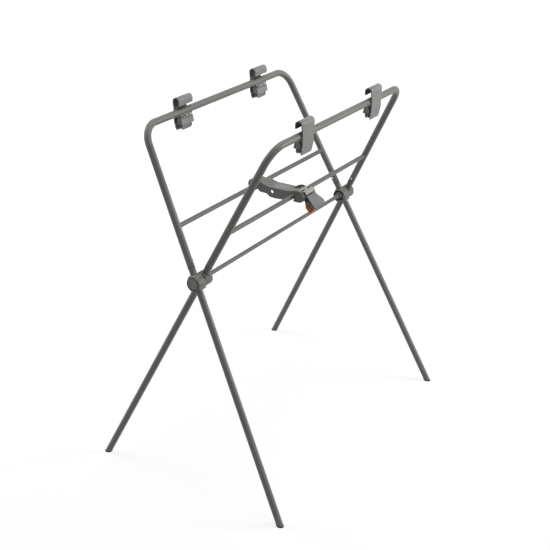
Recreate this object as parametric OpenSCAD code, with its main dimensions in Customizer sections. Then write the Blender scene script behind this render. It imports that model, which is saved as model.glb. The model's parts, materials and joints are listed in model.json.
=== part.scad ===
// Folding stand for a baby bath: two crossed tube frames that pivot on a common axle,
// rim hooks on both rails, and a lock strut that holds the frames open.
// Frame A rises to the left (-X), frame B to the right (+X). The near end is at -Y.

/* [Stance] */
// Lean of each frame from vertical when open, in degrees
lean = 26.6; // [24:0.1:30]
// Distance from the pivot to the floor, measured in the plane of a frame
leg_drop = 632.7; // [560:0.1:700]
// Distance from the pivot to the rail's centre line, in the plane of a frame
arm_rise = 390; // [350:1:430]
// Distance between the parting planes of the two pivots
hub_span = 720; // [640:1:800]
// Angle by which the arms close in towards the rail, in degrees
splay = 5.65; // [4:0.05:7]
// Distance from a pivot's parting plane to the centre of a leg tube
tube_offset = 13; // [12:0.1:14]

/* [Tubes] */
// Outer diameter of the bent upper tube
frame_od = 18; // [17.4:0.1:20]
// Wall of the bent upper tube
frame_wall = 1.5; // [1.2:0.1:1.8]
// Outer diameter of the leg tubes
leg_od = 17.2; // [16.4:0.1:17.6]
// Wall of the leg tubes
leg_wall = 1.4; // [1.2:0.1:1.8]
// Centre-line radius of the bends at the rail's ends
bend_radius = 50; // [40:1:60]
// Outer diameter of the crossbars
bar_od = 12; // [11:0.1:13]
// Wall of the crossbars
bar_wall = 1.2; // [0.8:0.1:1.6]
// Height of the crossbars above the pivot, in the plane of a frame
bar_rise = 139.8; // [130:0.1:150]
// Outer diameter of the axle tube
axle_od = 10.5; // [10.2:0.1:11.5]

/* [Leg joints] */
// Height of the seam between leg and arm above the pivot
seam_rise = 38; // [34:1:44]
// Length of the swaged spigot above the seam
spigot_length = 42; // [36:1:60]
// Height of the snap button above the seam
button_above_seam = 16; // [14:1:20]
// Diameter of the snap button
button_d = 6; // [5:0.1:7]
// How far the snap button stands out of the arm
button_proud = 1; // [0.6:0.1:1.6]
// Radial gap round the snap button
button_gap = 0.4; // [0.3:0.1:0.6]
// Travel of the snap button
button_travel = 3; // [2.6:0.1:3.2]
// Thickness of the snap button's leaf spring
snap_leaf_t = 0.8; // [0.6:0.1:1]

/* [Feet] */
// Thickness of a foot's sole
sole_t = 2.4; // [2:0.1:4]
// How far the sole stands out round the leg
sole_margin = 0.4; // [0.2:0.1:1]
// Length of the foot's plug inside the leg
plug_length = 26; // [18:1:36]

/* [Pivots] */
// Radius of a pivot's round housing
hub_radius = 17.2; // [16:0.1:19]
// Depth of the outer half from the parting plane
hub_outer_depth = 28; // [27:0.1:31]
// Depth of the inner half from the parting plane
hub_inner_depth = 31; // [29:0.1:34]
// Gap between the two halves of a pivot
parting_gap = 1.1; // [1:0.1:1.6]
// Half width of the socket block round a leg
block_half_width = 13.5; // [12.5:0.1:15]
// Height of the socket block above the pivot
block_top = 19; // [17:0.5:22]
// Depth of the socket block below the pivot
block_bottom = 22; // [20:0.5:26]
// Radius of the disc cap over the bolt head
cap_radius = 15.2; // [13:0.1:15.6]
// Thickness of the disc cap
cap_t = 2.4; // [2:0.1:2.8]
// Radius of the pivot bolt's shank
bolt_radius = 4; // [3.6:0.1:4.2]
// Radius of the pivot bolt's head
bolt_head_radius = 7; // [6.4:0.1:7.4]
// Height of the pivot bolt's head
bolt_head_t = 2.4; // [2:0.1:2.6]
// Length of the pivot bolt inside the axle
bolt_grip = 14; // [10:1:24]
// Outer radius of the pivot bush
bush_radius = 5.6; // [5.2:0.1:6.2]
// Thickness of the thrust washer
washer_t = 0.7; // [0.5:0.1:0.7]
// Outer radius of the thrust washer
washer_radius = 11; // [8:0.1:14]
// Radius of the boss round the axle
boss_radius = 9.6; // [8:0.1:10.4]
// Height of the boss above the inner face
boss_height = 3.6; // [2:0.1:6]
// Inner and outer radius of the round groove in the inner face
groove_inner = 10.6; // [10.6:0.1:11.4]
groove_outer = 14.8; // [14:0.1:15.4]
// Depth of that groove
groove_depth = 4; // [2:0.1:6]

/* [Rim hooks] */
// Distance of each hook from the middle of its rail
hook_station = 172; // [150:1:190]
// Length of a hook along its rail, at the top
hook_length = 56; // [48:1:64]
// Length of a hook's plate below the rail's level
plate_length = 51; // [44:1:56]
// Length of a hook's bottom edge
tail_length = 43; // [38:1:46]
// Thickness of the hook's wall
hook_wall = 2.8; // [2.2:0.1:3.2]
// Height of the hook's crown above the rail's centre
hook_crown = 38.5; // [36:0.5:44]
// Outer width of the hook across its crown
hook_width = 20.5; // [19:0.1:23]
// Height of the hook's lip above the rail's centre
lip_height = 18.5; // [17:0.5:20]
// Distance of the plate's outer face from the rail's centre
plate_out = 12.5; // [12.2:0.1:13.5]
// Depth of the plate's bottom edge below the rail's centre
plate_drop = 45.6; // [43:0.1:50]
// Wall of the lower jaw
jaw_wall = 2.4; // [2:0.1:3]
// Depth of the jaw's shelf below the rail's centre
jaw_shelf = 31; // [28:0.5:34]
// Radius of the clip screw's shank
clip_screw_radius = 1.6; // [1.4:0.1:2]

/* [Lock strut] */
// Place of the strut's middle plane along the crossbars
strut_y = -5; // [-30:1:30]
// Width of the strut's channel
strut_width = 46; // [42:1:52]
// Wall of the strut's channel
strut_wall = 2.6; // [2.2:0.1:3.2]
// Outer radius of the domed root round crossbar A
root_radius = 15.6; // [14:0.1:17]
// Width of that root
root_width = 36; // [34:1:42]
// Height of the root's shoulder above the crossbars
shoulder_height = 17.3; // [15:0.1:19]
// Radius of the bushes' flanges at the root's ends
flange_radius = 11; // [10:0.1:12]
// Thickness of those flanges
flange_t = 2.6; // [2:0.1:3.4]
// Outer radius of the bushes' sleeves
strut_bush_radius = 8.6; // [8:0.1:9.4]
// Height of the strut's top at its waist above the crossbars
waist_height = 9.2; // [8:0.1:10.5]
// Height of the strut's head above the crossbars
head_height = 15; // [13.5:0.1:17]
// Depth of the channel's belly below the crossbars
belly_depth = 17.6; // [15:0.1:20]
// Diameter of the see-through hole in the channel's sides
side_hole_d = 8.6; // [6:0.1:9.6]
// Thickness of the inlay panel
panel_t = 1.2; // [0.8:0.1:1.6]

/* [Latch] */
// Place of the latch pin, past crossbar B and above it
pin_past_bar = 19; // [18:0.1:20]
pin_above_bar = 2; // [0:0.1:4]
// Radius of the latch pin
pin_radius = 3; // [2.4:0.1:3.6]
// Radius of the claws' round plates
claw_radius = 14.8; // [14:0.1:16]
// Thickness of a claw
claw_t = 6; // [4:0.1:7]
// Clearance between the claws and crossbar B
claw_clearance = 0.4; // [0.35:0.05:0.6]
// Slope of the handle below level, in degrees
handle_slope = 45; // [42:1:47]
// Length of the handle
handle_length = 43; // [38:1:50]
// How much narrower than the strut the handle's root is
handle_root_inset = 4; // [2:0.5:8]
// Reach of the handle's end to its near side and to its far side
handle_near_reach = 24.5; // [22:0.5:27]
handle_far_reach = 31; // [27:0.5:33]
// Thickness of the handle's core and of its soft pad
handle_t = 2.4; // [2:0.1:2.8]
pad_t = 2; // [1.6:0.1:2.4]
// Width of the trigger
trigger_width = 36; // [30:1:38]
// Wall of the trigger
trigger_wall = 2.6; // [2:0.1:3.2]

/* [Clearances] */
// Radial clearance of turning fits
run_fit = 0.06; // [0.03:0.01:0.1]
// Clearance between pieces of one body that slide together on assembly
seat_fit = 0.1; // [0.05:0.05:0.2]
// Clearance between pieces that move past each other
move_gap = 0.4; // [0.3:0.05:0.6]

/* [Motion] */
// Angle that the frames fold through, in degrees
fold_angle = 42; // [38:1:43]

/* [Hidden] */
$fn = 64;

near = -1;
far = 1;
hub_z = leg_drop * cos(lean);
frame_r = frame_od / 2;
leg_r = leg_od / 2;
leg_bore_r = leg_r - leg_wall;
spigot_r = frame_r - frame_wall - seat_fit;
spigot_bore_r = spigot_r - leg_wall;
bar_r = bar_od / 2;
axle_r = axle_od / 2;
button_r = button_d / 2;
bar_x = bar_rise * sin(lean);
bar_z = hub_z + bar_rise * cos(lean);
bar_gap = 2 * bar_x;
rail_z = hub_z + arm_rise * cos(lean);
rail_x = arm_rise * sin(lean);
strut_half = strut_width / 2;
handle_root_width = strut_width - handle_root_inset;
lift_ratio = (90 + lean) / fold_angle;

tube_colour = [0.36, 0.35, 0.33];
bar_colour = [0.42, 0.41, 0.39];
hub_colour = [0.43, 0.42, 0.41];
cap_colour = [0.38, 0.37, 0.35];
foot_colour = [0.12, 0.12, 0.12];
clip_colour = [0.57, 0.56, 0.54];
steel_colour = [0.75, 0.75, 0.74];
strut_colour = [0.34, 0.33, 0.32];
panel_colour = [0.52, 0.51, 0.50];
pad_colour = [0.52, 0.54, 0.55];
trigger_colour = [0.72, 0.36, 0.16];

// ---------- places ----------

// Draws its children in the plane of frame A or B, with the pivot's axle at the origin
module in_frame(b) {
    rotate([0, 0, b ? 180 : 0])
        translate([0, 0, hub_z])
            rotate([0, -lean, 0])
                children();
}

// In frame coordinates, an end of the frame is near (-Y) or far (+Y). Turning frame A by
// 180 degrees gives frame B, so B's near leg is the frame's far one.
function frame_end(b, end) = b ? -end : end;

// Distance along Y of a leg's centre line from the object's middle, at a height s
function tube_y(end, s) =
    end * hub_span / 2 - tube_offset - end * s * tan(splay);

// Puts its children on a leg's centre line, with +Z up along the tube
module along_tube(end, s = 0) {
    translate([0, tube_y(end, s), s])
        rotate([end * splay, 0, 0])
            children();
}

// A solid rod on a leg's centre line between two heights of the frame's plane
module tube_rod(end, s0, s1, r) {
    along_tube(end, s0)
        cylinder(r = r, h = (s1 - s0) / cos(splay));
}

// A solid rod along Y
module rod_y(y0, y1, r) {
    translate([0, y1, 0])
        rotate([90, 0, 0])
            cylinder(r = r, h = y1 - y0);
}

// ---------- bent upper tubes ----------

bend_turn = 90 - splay;
bend_tangent = bend_radius * tan(bend_turn / 2);

// Centre of the bend at one end, as [y, s]
function corner_y(end) = tube_y(end, arm_rise);
function bend_y(end) = corner_y(end) - end * bend_tangent;
bend_s = arm_rise - bend_radius;
arm_top = arm_rise - bend_tangent * cos(splay);

// A bend is a hair thicker than the straight tube, which runs a little way into it
bend_swell = 0.04;
bend_lap = 1;

module upper_path(r, past_seam = 0) {
    for (end = [near, far]) {
        tube_rod(end, seam_rise - past_seam, arm_top + bend_lap, r);
        translate([0, bend_y(end), bend_s])
            rotate([90, 0, 90])
                rotate([0, 0, end == near ? 90 : splay])
                    rotate_extrude(angle = bend_turn)
                        translate([bend_radius, 0])
                            circle(r = r + bend_swell);
    }
    translate([0, 0, arm_rise])
        rod_y(bend_y(near) - bend_lap, bend_y(far) + bend_lap, r);
}

// The hole that a snap button springs out through
module button_hole(end) {
    along_tube(end, seam_rise + button_above_seam)
        rotate([end * 90, 0, 0])
            cylinder(r = button_r + button_gap, h = frame_od);
}

module upper_frame(b) {
    color(tube_colour)
        in_frame(b)
            difference() {
                upper_path(frame_r);
                upper_path(frame_r - frame_wall, 1);
                button_hole(near);
                button_hole(far);
            }
}

module crossbar(b) {
    color(bar_colour)
        in_frame(b)
            difference() {
                translate([0, 0, bar_rise])
                    rod_y(tube_y(near, bar_rise), tube_y(far, bar_rise), bar_r);
                translate([0, 0, bar_rise])
                    rod_y(tube_y(near, bar_rise), tube_y(far, bar_rise), bar_r - bar_wall);
                tube_rod(near, bar_rise - frame_od, bar_rise + frame_od, frame_r);
                tube_rod(far, bar_rise - frame_od, bar_rise + frame_od, frame_r);
            }
}

// ---------- legs, snap buttons and feet ----------

leg_reach = leg_drop + leg_od;

module below(z) {
    translate([-leg_drop, -hub_span, z - leg_drop])
        cube([2 * leg_drop, 2 * hub_span, leg_drop]);
}

// Crosswise hole through a leg for the pivot bolt or its bush
module pivot_hole(r) {
    rod_y(-hub_span, hub_span, r);
}

module leg(b, end) {
    f = frame_end(b, end);
    color(tube_colour)
        difference() {
            in_frame(b)
                difference() {
                    union() {
                        tube_rod(f, -leg_reach, seam_rise, leg_r);
                        tube_rod(f, seam_rise - leg_wall, seam_rise + spigot_length, spigot_r);
                    }
                    tube_rod(f, -leg_reach - 1, seam_rise - leg_wall, leg_bore_r);
                    tube_rod(f, seam_rise - 2 * leg_wall, seam_rise + spigot_length + 1, spigot_bore_r);
                    pivot_hole(b ? bush_radius + seat_fit : bolt_radius + seat_fit);
                    button_hole(f);
                }
            below(sole_t);
        }
}

button_flange_r = button_r + 1.1;
button_flange_t = 0.8;
button_flange_out = 3.8;

module snap_button(b, end) {
    f = frame_end(b, end);
    color(steel_colour)
        in_frame(b)
            along_tube(f, seam_rise + button_above_seam)
                rotate([f * 90, 0, 0]) {
                    cylinder(r = button_r, h = frame_r + button_proud / 2);
                    translate([0, 0, frame_r + button_proud / 2])
                        cylinder(r1 = button_r, r2 = button_r - button_proud / 2, h = button_proud / 2);
                    translate([0, 0, button_flange_out - button_flange_t])
                        cylinder(r = button_flange_r, h = button_flange_t);
                }
}

// Folded leaf spring under the button: it closes up at the end of the button's travel
module snap_spring(b, end) {
    f = frame_end(b, end);
    leaf_top = -seat_fit;
    back = leaf_top - button_travel - 2 * snap_leaf_t;
    leaf_end = -button_above_seam + 5;
    color(steel_colour)
        in_frame(b)
            along_tube(f, seam_rise + button_above_seam)
                rotate([f * 90, 0, 0])
                    rotate([90, 0, 90])
                        translate([0, 0, -snap_leaf_w / 2])
                            linear_extrude(snap_leaf_w)
                                snap_leaf_outline(f, leaf_top, back, leaf_end);
}

snap_leaf_w = 5;

module snap_leaf_outline(f, top, back, low) {
    tip = f * low;
    side = f * 4;
    polygon([
        [side, top], [side, top - snap_leaf_t], [tip + f * snap_leaf_t, back + snap_leaf_t],
        [side, back + snap_leaf_t], [side, back], [tip, back], [tip - f * snap_leaf_t, back + snap_leaf_t],
        [0, top]
    ]);
}

module foot(b, end) {
    f = frame_end(b, end);
    plug_r = leg_bore_r - seat_fit;
    color(foot_colour)
        difference() {
            union() {
                difference() {
                    in_frame(b) tube_rod(f, -leg_reach, -leg_drop + leg_od, leg_r + sole_margin);
                    below(0);
                    translate([-leg_drop, -hub_span, sole_t])
                        cube([2 * leg_drop, 2 * hub_span, leg_drop]);
                }
                difference() {
                    in_frame(b) tube_rod(f, -leg_reach, -leg_drop + plug_length, plug_r);
                    below(sole_t / 2);
                }
            }
            in_frame(b) tube_rod(f, -leg_drop + leg_r, -leg_drop + plug_length + 1, plug_r - 2);
        }
}

// ---------- pivots ----------

// In frame coordinates both of a frame's halves lie on the -Y side of their parting plane
parting_half = parting_gap / 2;
head_seat = tube_offset + leg_r + 1;
block_depth = tube_offset + leg_r + 3.2;
block_chamfer = 5;
block_taper = 3;
block_taper_high = 7;
block_taper_low = 10;
lobe_drop = 2.4;
lobe_extra = 1.6;

function parting_y(end) = end * hub_span / 2;

// Puts its children on the parting plane with +Z pointing away from it, along the axle
module on_parting(end) {
    translate([0, parting_y(end), 0])
        rotate([90, 0, 0])
            children();
}

// Side view of the socket block: depth from the parting plane against height
module block_outline() {
    polygon([
        [parting_half, -block_bottom], [block_depth - block_chamfer / 2, -block_bottom],
        [block_depth, -block_bottom + block_chamfer / 2], [block_depth, block_top - block_chamfer],
        [block_depth - block_chamfer, block_top], [parting_half, block_top]
    ]);
}

// The block seen along the axle: its corners run in towards the tube
module block_face() {
    w = block_half_width;
    in_x = w - block_taper;
    polygon([
        [-w, block_taper_low - block_bottom], [-in_x, -block_bottom], [in_x, -block_bottom],
        [w, block_taper_low - block_bottom], [w, block_top - block_taper_high],
        [in_x, block_top], [-in_x, block_top], [-w, block_top - block_taper_high]
    ]);
}

module socket_block(end) {
    translate([0, parting_y(end), 0])
        rotate([90, 0, -90])
            translate([0, 0, -block_half_width])
                linear_extrude(2 * block_half_width)
                    block_outline();
}

module hub_half(b, end) {
    f = frame_end(b, end);
    outer = f == near;
    depth = outer ? hub_outer_depth : hub_inner_depth;
    color(hub_colour)
        in_frame(b)
            difference() {
                union() {
                    on_parting(f)
                        translate([0, 0, parting_half])
                            cylinder(r = hub_radius, h = depth - parting_half);
                    on_parting(f)
                        translate([0, -lobe_drop, parting_half])
                            cylinder(r = hub_radius + lobe_extra, h = depth - parting_half);
                    intersection() {
                        socket_block(f);
                        on_parting(f)
                            linear_extrude(block_depth)
                                block_face();
                    }
                    if (!outer)
                        on_parting(f)
                            cylinder(r = boss_radius, h = depth + boss_height);
                }
                if (!outer)
                    on_parting(f)
                        translate([0, 0, -1])
                            cylinder(r = boss_radius + 1, h = 1 + parting_half);
                tube_rod(f, -2 * block_bottom, 2 * block_top, leg_r + seat_fit);
                pivot_hole(b ? bush_radius + seat_fit / 2 : bolt_radius + seat_fit);
                if (outer)
                    on_parting(f)
                        outer_recess(b);
                else
                    on_parting(f)
                        inner_recess(b);
            }
}

// Counterbores of the outer half: the bolt head's seat, with a gap in frame B, and the cap's seat
module outer_recess(b) {
    translate([0, 0, head_seat - (b ? move_gap : 0)])
        cylinder(r = bolt_head_radius + move_gap, h = hub_outer_depth);
    translate([0, 0, hub_outer_depth - cap_t])
        cylinder(r = cap_radius + move_gap, h = cap_t + 1);
}

axle_start = tube_offset + leg_r + 2.4;
hub_screw_ring = (groove_inner + groove_outer) / 2;
hub_screw_angle = -35;
hub_screw_r = 1.5;
hub_screw_depth = 7;

// Round groove and axle socket of the inner half
module inner_recess(b) {
    translate([0, 0, hub_inner_depth - groove_depth])
        difference() {
            cylinder(r = groove_outer, h = groove_depth + boss_height + 1);
            translate([0, 0, -1])
                cylinder(r = groove_inner, h = groove_depth + boss_height + 3);
        }
    translate([0, 0, axle_start - (b ? move_gap : 0)])
        cylinder(r = axle_r + run_fit, h = hub_inner_depth);
    at_hub_screw()
        translate([0, 0, -hub_screw_depth - 1])
            cylinder(r = hub_screw_r + seat_fit / 2, h = hub_screw_depth + 2);
}

module at_hub_screw() {
    rotate([0, 0, hub_screw_angle])
        translate([hub_screw_ring, 0, hub_inner_depth - groove_depth])
            children();
}

module hub_screw(b) {
    color(steel_colour)
        in_frame(b)
            on_parting(far)
                at_hub_screw()
                    difference() {
                        union() {
                            translate([0, 0, -hub_screw_depth])
                                cylinder(r = hub_screw_r, h = hub_screw_depth);
                            cylinder(r = groove_outer - hub_screw_ring - 0.2, h = 1.4);
                        }
                        translate([0, 0, 0.7])
                            cylinder(r = 0.9, h = 1, $fn = 6);
                    }
}

module hub_cap(b) {
    color(cap_colour)
        in_frame(b)
            on_parting(near)
                translate([0, 0, hub_outer_depth - cap_t]) {
                    cylinder(r = cap_radius, h = cap_t - 0.6);
                    translate([0, 0, cap_t - 0.6])
                        cylinder(r1 = cap_radius, r2 = cap_radius - 0.6, h = 0.6);
                }
}

// The bolt runs from its seat in the outer half, through both legs, into the axle
module pivot_bolt(end) {
    color(steel_colour)
        in_frame(end == far)
            on_parting(near)
                difference() {
                    union() {
                        translate([0, 0, -axle_start - bolt_grip])
                            cylinder(r = bolt_radius, h = axle_start + bolt_grip + head_seat);
                        translate([0, 0, head_seat])
                            cylinder(r = bolt_head_radius, h = bolt_head_t);
                    }
                    translate([0, 0, head_seat + 0.8])
                        cylinder(r = 2.9, h = bolt_head_t, $fn = 6);
                }
}

module pivot_bush(end) {
    length = end == far ? head_seat : axle_start - move_gap;
    color(foot_colour)
        in_frame(true)
            on_parting(frame_end(true, end))
                difference() {
                    translate([0, 0, parting_half])
                        cylinder(r = bush_radius, h = length - parting_half - move_gap);
                    cylinder(r = bolt_radius + run_fit, h = length + 1);
                }
}

// Flat ring that lies on frame A's half and keeps the two halves apart
module thrust_washer(end) {
    color(steel_colour)
        in_frame(false)
            on_parting(end)
                translate([0, 0, parting_half - washer_t])
                    difference() {
                        cylinder(r = washer_radius, h = washer_t);
                        translate([0, 0, -1])
                            cylinder(r = bolt_radius + seat_fit, h = washer_t + 2);
                    }
}

module axle_tube() {
    color(bar_colour)
        translate([0, 0, hub_z])
            difference() {
                rod_y(-hub_span / 2 + axle_start, hub_span / 2 - axle_start, axle_r);
                rod_y(-hub_span / 2, hub_span / 2, bolt_radius + seat_fit / 2);
            }
}

// ---------- rim hooks ----------

// A hook's section is drawn with +X away from the bath and +Y up, the rail at the origin
plate_in = plate_out - hook_wall;
crown_r = hook_width / 2;
crown_x = plate_out - crown_r;
crown_y = hook_crown - crown_r;
lip_x = plate_out - hook_width;
saddle_r = frame_r + seat_fit;
tail_out = plate_out - 4.5;
clip_screw_x = 4.6;
clip_boss_r = clip_screw_radius + 2;

module hook_section() {
    difference() {
        union() {
            translate([crown_x, crown_y])
                circle(r = crown_r);
            translate([lip_x, lip_height])
                square([hook_wall, crown_y - lip_height]);
            polygon([
                [plate_in, crown_y], [plate_out, crown_y], [plate_out, -20],
                [tail_out, -plate_drop], [tail_out - hook_wall, -plate_drop], [plate_in, -20]
            ]);
            intersection() {
                circle(r = plate_out);
                translate([-plate_out * 0.62, -plate_out])
                    square([plate_out * 1.62, plate_out + 3]);
            }
        }
        difference() {
            union() {
                translate([crown_x, crown_y])
                    circle(r = crown_r - hook_wall);
                translate([lip_x + hook_wall, lip_height - 1])
                    square([hook_width - 2 * hook_wall, crown_y - lip_height + 1]);
            }
        }
        translate([lip_x - 1, 4])
            square([plate_in - lip_x + 1, lip_height - 4]);
        circle(r = saddle_r);
    }
}

// Outline of a hook seen from outside the bath: wide crown, notched and narrowed tail
notch_top = -jaw_shelf - 0.5;
notch_low = -jaw_shelf - 4;

module hook_outline() {
    h = hook_length / 2;
    p = plate_length / 2;
    t = tail_length / 2;
    polygon([
        [-h, hook_crown + 1], [-h, lip_height + 4], [-p, lip_height - 6], [-p, notch_top],
        [-p + 2, notch_top], [-p + 2, notch_low], [-p, notch_low], [-t, -plate_drop - 1],
        [t, -plate_drop - 1], [p, notch_low], [p - 2, notch_low], [p - 2, notch_top],
        [p, notch_top], [p, lip_height - 6], [h, lip_height + 4], [h, hook_crown + 1]
    ]);
}

// Places a hook on a rail of frame A: its +X points away from the bath
module on_rail(end) {
    translate([-rail_x, end * hook_station, rail_z])
        rotate([0, 0, 180])
            children();
}

module clip_hook(b, end) {
    f = frame_end(b, end);
    color(clip_colour)
        rotate([0, 0, b ? 180 : 0])
            on_rail(f)
                difference() {
                    union() {
                        intersection() {
                            translate([0, hook_length / 2, 0])
                                rotate([90, 0, 0])
                                    linear_extrude(hook_length)
                                        hook_section();
                            translate([-hook_width, 0, 0])
                                rotate([90, 0, 90])
                                    linear_extrude(3 * hook_width)
                                        hook_outline();
                        }
                        translate([clip_screw_x, 0, -jaw_shelf + jaw_wall])
                            cylinder(r = clip_boss_r, h = jaw_shelf - jaw_wall - frame_r - 1.5);
                    }
                    translate([clip_screw_x, 0, -jaw_shelf])
                        cylinder(r = clip_screw_radius + seat_fit / 2, h = 12 + jaw_wall);
                }
}

// The jaw's section: a thin sloped face, its shelf and two prongs
jaw_top = -saddle_r - 2.2;
jaw_top_x = -9.5;
jaw_low_x = -14;
prong_drop = plate_drop - 1;

module jaw_section() {
    polygon([
        [jaw_top_x, jaw_top], [jaw_low_x, -jaw_shelf], [jaw_low_x + jaw_wall, -jaw_shelf],
        [jaw_low_x + 5, -jaw_shelf], [jaw_low_x + 5, -prong_drop], [jaw_low_x + 5 + jaw_wall, -prong_drop],
        [jaw_low_x + 5 + jaw_wall, -jaw_shelf], [-1.7, -jaw_shelf], [-1.7, -prong_drop + 1.4],
        [-1.7 + jaw_wall, -prong_drop + 1.4], [-1.7 + jaw_wall, -jaw_shelf],
        [jaw_shelf_x, -jaw_shelf], [jaw_shelf_x, -jaw_shelf + jaw_wall],
        [jaw_low_x + jaw_wall + 0.6, -jaw_shelf + jaw_wall], [jaw_top_x + jaw_wall, jaw_top]
    ]);
}

jaw_shelf_x = plate_in - (jaw_shelf - 20) * 4.5 / (plate_drop - 20) - seat_fit;

// Outline of the jaw seen from inside the bath
module jaw_outline() {
    p = plate_length / 2 - 1;
    t = tail_length / 2 - 1;
    polygon([
        [-p + 3, jaw_top + 1], [-p, jaw_top - 3], [-p, notch_top + 1], [-p + 5, notch_top + 1],
        [-p + 5, notch_low], [-t, notch_low], [-t, -prong_drop + 5], [-t + 5, -prong_drop - 1],
        [t - 5, -prong_drop - 1], [t, -prong_drop + 5], [t, notch_low], [p - 5, notch_low],
        [p - 5, notch_top + 1], [p, notch_top + 1], [p, jaw_top - 3], [p - 3, jaw_top + 1]
    ]);
}

module clip_jaw(b, end) {
    f = frame_end(b, end);
    color(clip_colour)
        rotate([0, 0, b ? 180 : 0])
            on_rail(f)
                difference() {
                    intersection() {
                        translate([0, plate_length / 2, 0])
                            rotate([90, 0, 0])
                                linear_extrude(plate_length)
                                    jaw_section();
                        translate([-hook_width, 0, 0])
                            rotate([90, 0, 90])
                                linear_extrude(3 * hook_width)
                                    jaw_outline();
                    }
                    translate([clip_screw_x, 0, -jaw_shelf - 1])
                        cylinder(r = clip_screw_radius + seat_fit, h = jaw_wall + 2);
                }
}

clip_screw_head_r = 2.6;
clip_screw_length = 12;

module clip_screws(b) {
    color(steel_colour)
        rotate([0, 0, b ? 180 : 0])
            for (end = [near, far])
                on_rail(end)
                    translate([clip_screw_x, 0, -jaw_shelf]) {
                        cylinder(r = clip_screw_radius, h = clip_screw_length);
                        translate([0, 0, -2])
                            difference() {
                                cylinder(r = clip_screw_head_r, h = 2);
                                translate([0, 0, -1])
                                    cylinder(r = 1.6, h = 2, $fn = 6);
                            }
                    }
}

// ---------- lock strut ----------

// The strut is drawn with crossbar A at the origin, +X towards crossbar B and +Z up
module in_strut() {
    translate([-bar_x, strut_y, bar_z])
        children();
}

// Extrudes a side view along Y, between two distances from the strut's middle plane
module side_slab(y0, y1) {
    translate([0, y1, 0])
        rotate([90, 0, 0])
            linear_extrude(y1 - y0)
                children();
}

// Centre of crossbar B in the strut's coordinates when the frames have folded by an angle
function bar_dx(fold) = bar_rise * (sin(lean - fold) + sin(lean));
function bar_dz(fold) = bar_rise * (cos(lean - fold) - cos(lean));
function bar_in_strut(fold) = let (a = lift_ratio * fold) [
    bar_dx(fold) * cos(a) + bar_dz(fold) * sin(a),
    -bar_dx(fold) * sin(a) + bar_dz(fold) * cos(a)
];

// Area that crossbar B sweeps as it leaves the strut, widened by a clearance
sweep_step = 1.5;
sweep_count = 7;

module bar_sweep(clear) {
    path = [for (i = [0 : sweep_count]) bar_in_strut(i * sweep_step)];
    r = bar_r + clear;
    translate(path[0])
        circle(r = r);
    polygon(concat(
        [for (i = [0 : sweep_count - 1]) path[i] + r * left_of(path[i], path[i + 1])],
        [for (i = [sweep_count - 1 : -1 : 0]) path[i] - r * left_of(path[i], path[i + 1])]
    ));
}

// Unit vector square to a step of the path
function left_of(p, q) = let (d = (q - p) / norm(q - p)) [-d[1], d[0]];

pin_x = bar_gap + pin_past_bar;
pin_z = pin_above_bar;
head_end = pin_x + 17;
waist_start = 48;
waist_end = 106;
root_half = root_width / 2;
root_centre = [-3, 4];

// Top line of the strut, from the root's shoulder to the head's end
function top_line(drop) = [
    [21, shoulder_height - drop], [31, shoulder_height - 3 - drop],
    [waist_start, waist_height - drop], [waist_end, waist_height - drop],
    [bar_gap - 5, head_height - 2.4 - drop], [pin_x - 8, head_height - drop],
    [head_end - 3, head_height - drop]
];

module beam_outline() {
    polygon(concat(top_line(0), [
        [head_end, head_height - 4], [head_end, -3], [head_end - 8, -10],
        [pin_x - 10, -10], [bar_gap + 4, -10], [bar_gap - 13, -4], [waist_end - 9, -belly_depth + 1],
        [70, -belly_depth - 1], [53, -belly_depth], [42, -belly_depth + 7.4], [22, -9.5], [13, -2]
    ]));
}

// The domed root, a little narrower than the channel that it runs into
module root_block() {
    translate([root_centre[0], 0, root_centre[1]])
        rod_y(-root_half, root_half, root_radius);
    side_slab(-root_half, root_half)
        polygon([
            root_centre + [0, root_radius], [10, shoulder_height - 0.3], [22, shoulder_height - 0.2],
            [26, 0], [14, -4]
        ]);
}

module beam_cavity() {
    polygon(concat(
        [for (p = top_line(strut_wall)) if (p[0] > cavity_start) p],
        [[head_end - strut_wall - 1, -40], [cavity_start, -40], [cavity_start, 8]]
    ));
}

// Start of the channel behind the solid root
cavity_start = 22;

panel_start = 50;
panel_end = 105;

// Plan of the inlay panel on the strut's waist, which narrows towards both ends
module panel_plan(margin) {
    w = strut_half - 7 + margin;
    n = 9 + margin;
    polygon([
        [panel_start - margin, -n], [panel_start + 14, -w], [panel_end - 22, -w],
        [panel_end + margin, -n], [panel_end + margin, n], [panel_end - 22, w],
        [panel_start + 14, w], [panel_start - margin, n]
    ]);
}

module strut_beam() {
    color(strut_colour)
        in_strut()
            difference() {
                union() {
                    root_block();
                    difference() {
                        side_slab(-strut_half, strut_half) beam_outline();
                        side_slab(-strut_half + strut_wall, strut_half - strut_wall) beam_cavity();
                        trigger_window();
                        roof_pocket();
                    }
                    far_ear();
                    for (x = web_places)
                        beam_web(x);
                    handle_arm();
                }
                rod_y(-strut_half - 1, strut_half + 1, bar_r + 1);
                rod_y(-strut_half - 1, -root_half + bush_sleeve, strut_bush_radius + seat_fit);
                rod_y(root_half - bush_sleeve, strut_half + 1, strut_bush_radius + seat_fit);
                side_slab(-strut_half - 1, strut_half + 1) bar_sweep(2 * move_gap);
                translate([side_hole_x, 0, side_hole_z])
                    rod_y(-strut_half - 1, strut_half + 1, side_hole_d / 2);
                translate([pin_x, 0, pin_z])
                    rod_y(-strut_half - 1, strut_half + 1, pin_radius + run_fit);
                translate([0, 0, waist_height - panel_t])
                    linear_extrude(panel_t + 1)
                        panel_plan(seat_fit);
            }
}

// Opening in the head's end wall that the trigger passes through
window_top = 1.5;

module trigger_window() {
    w = trigger_width / 2 + 2 * move_gap;
    translate([pin_x, -w, -head_height])
        cube([head_end - pin_x + 1, 2 * w, head_height + window_top]);
}

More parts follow.
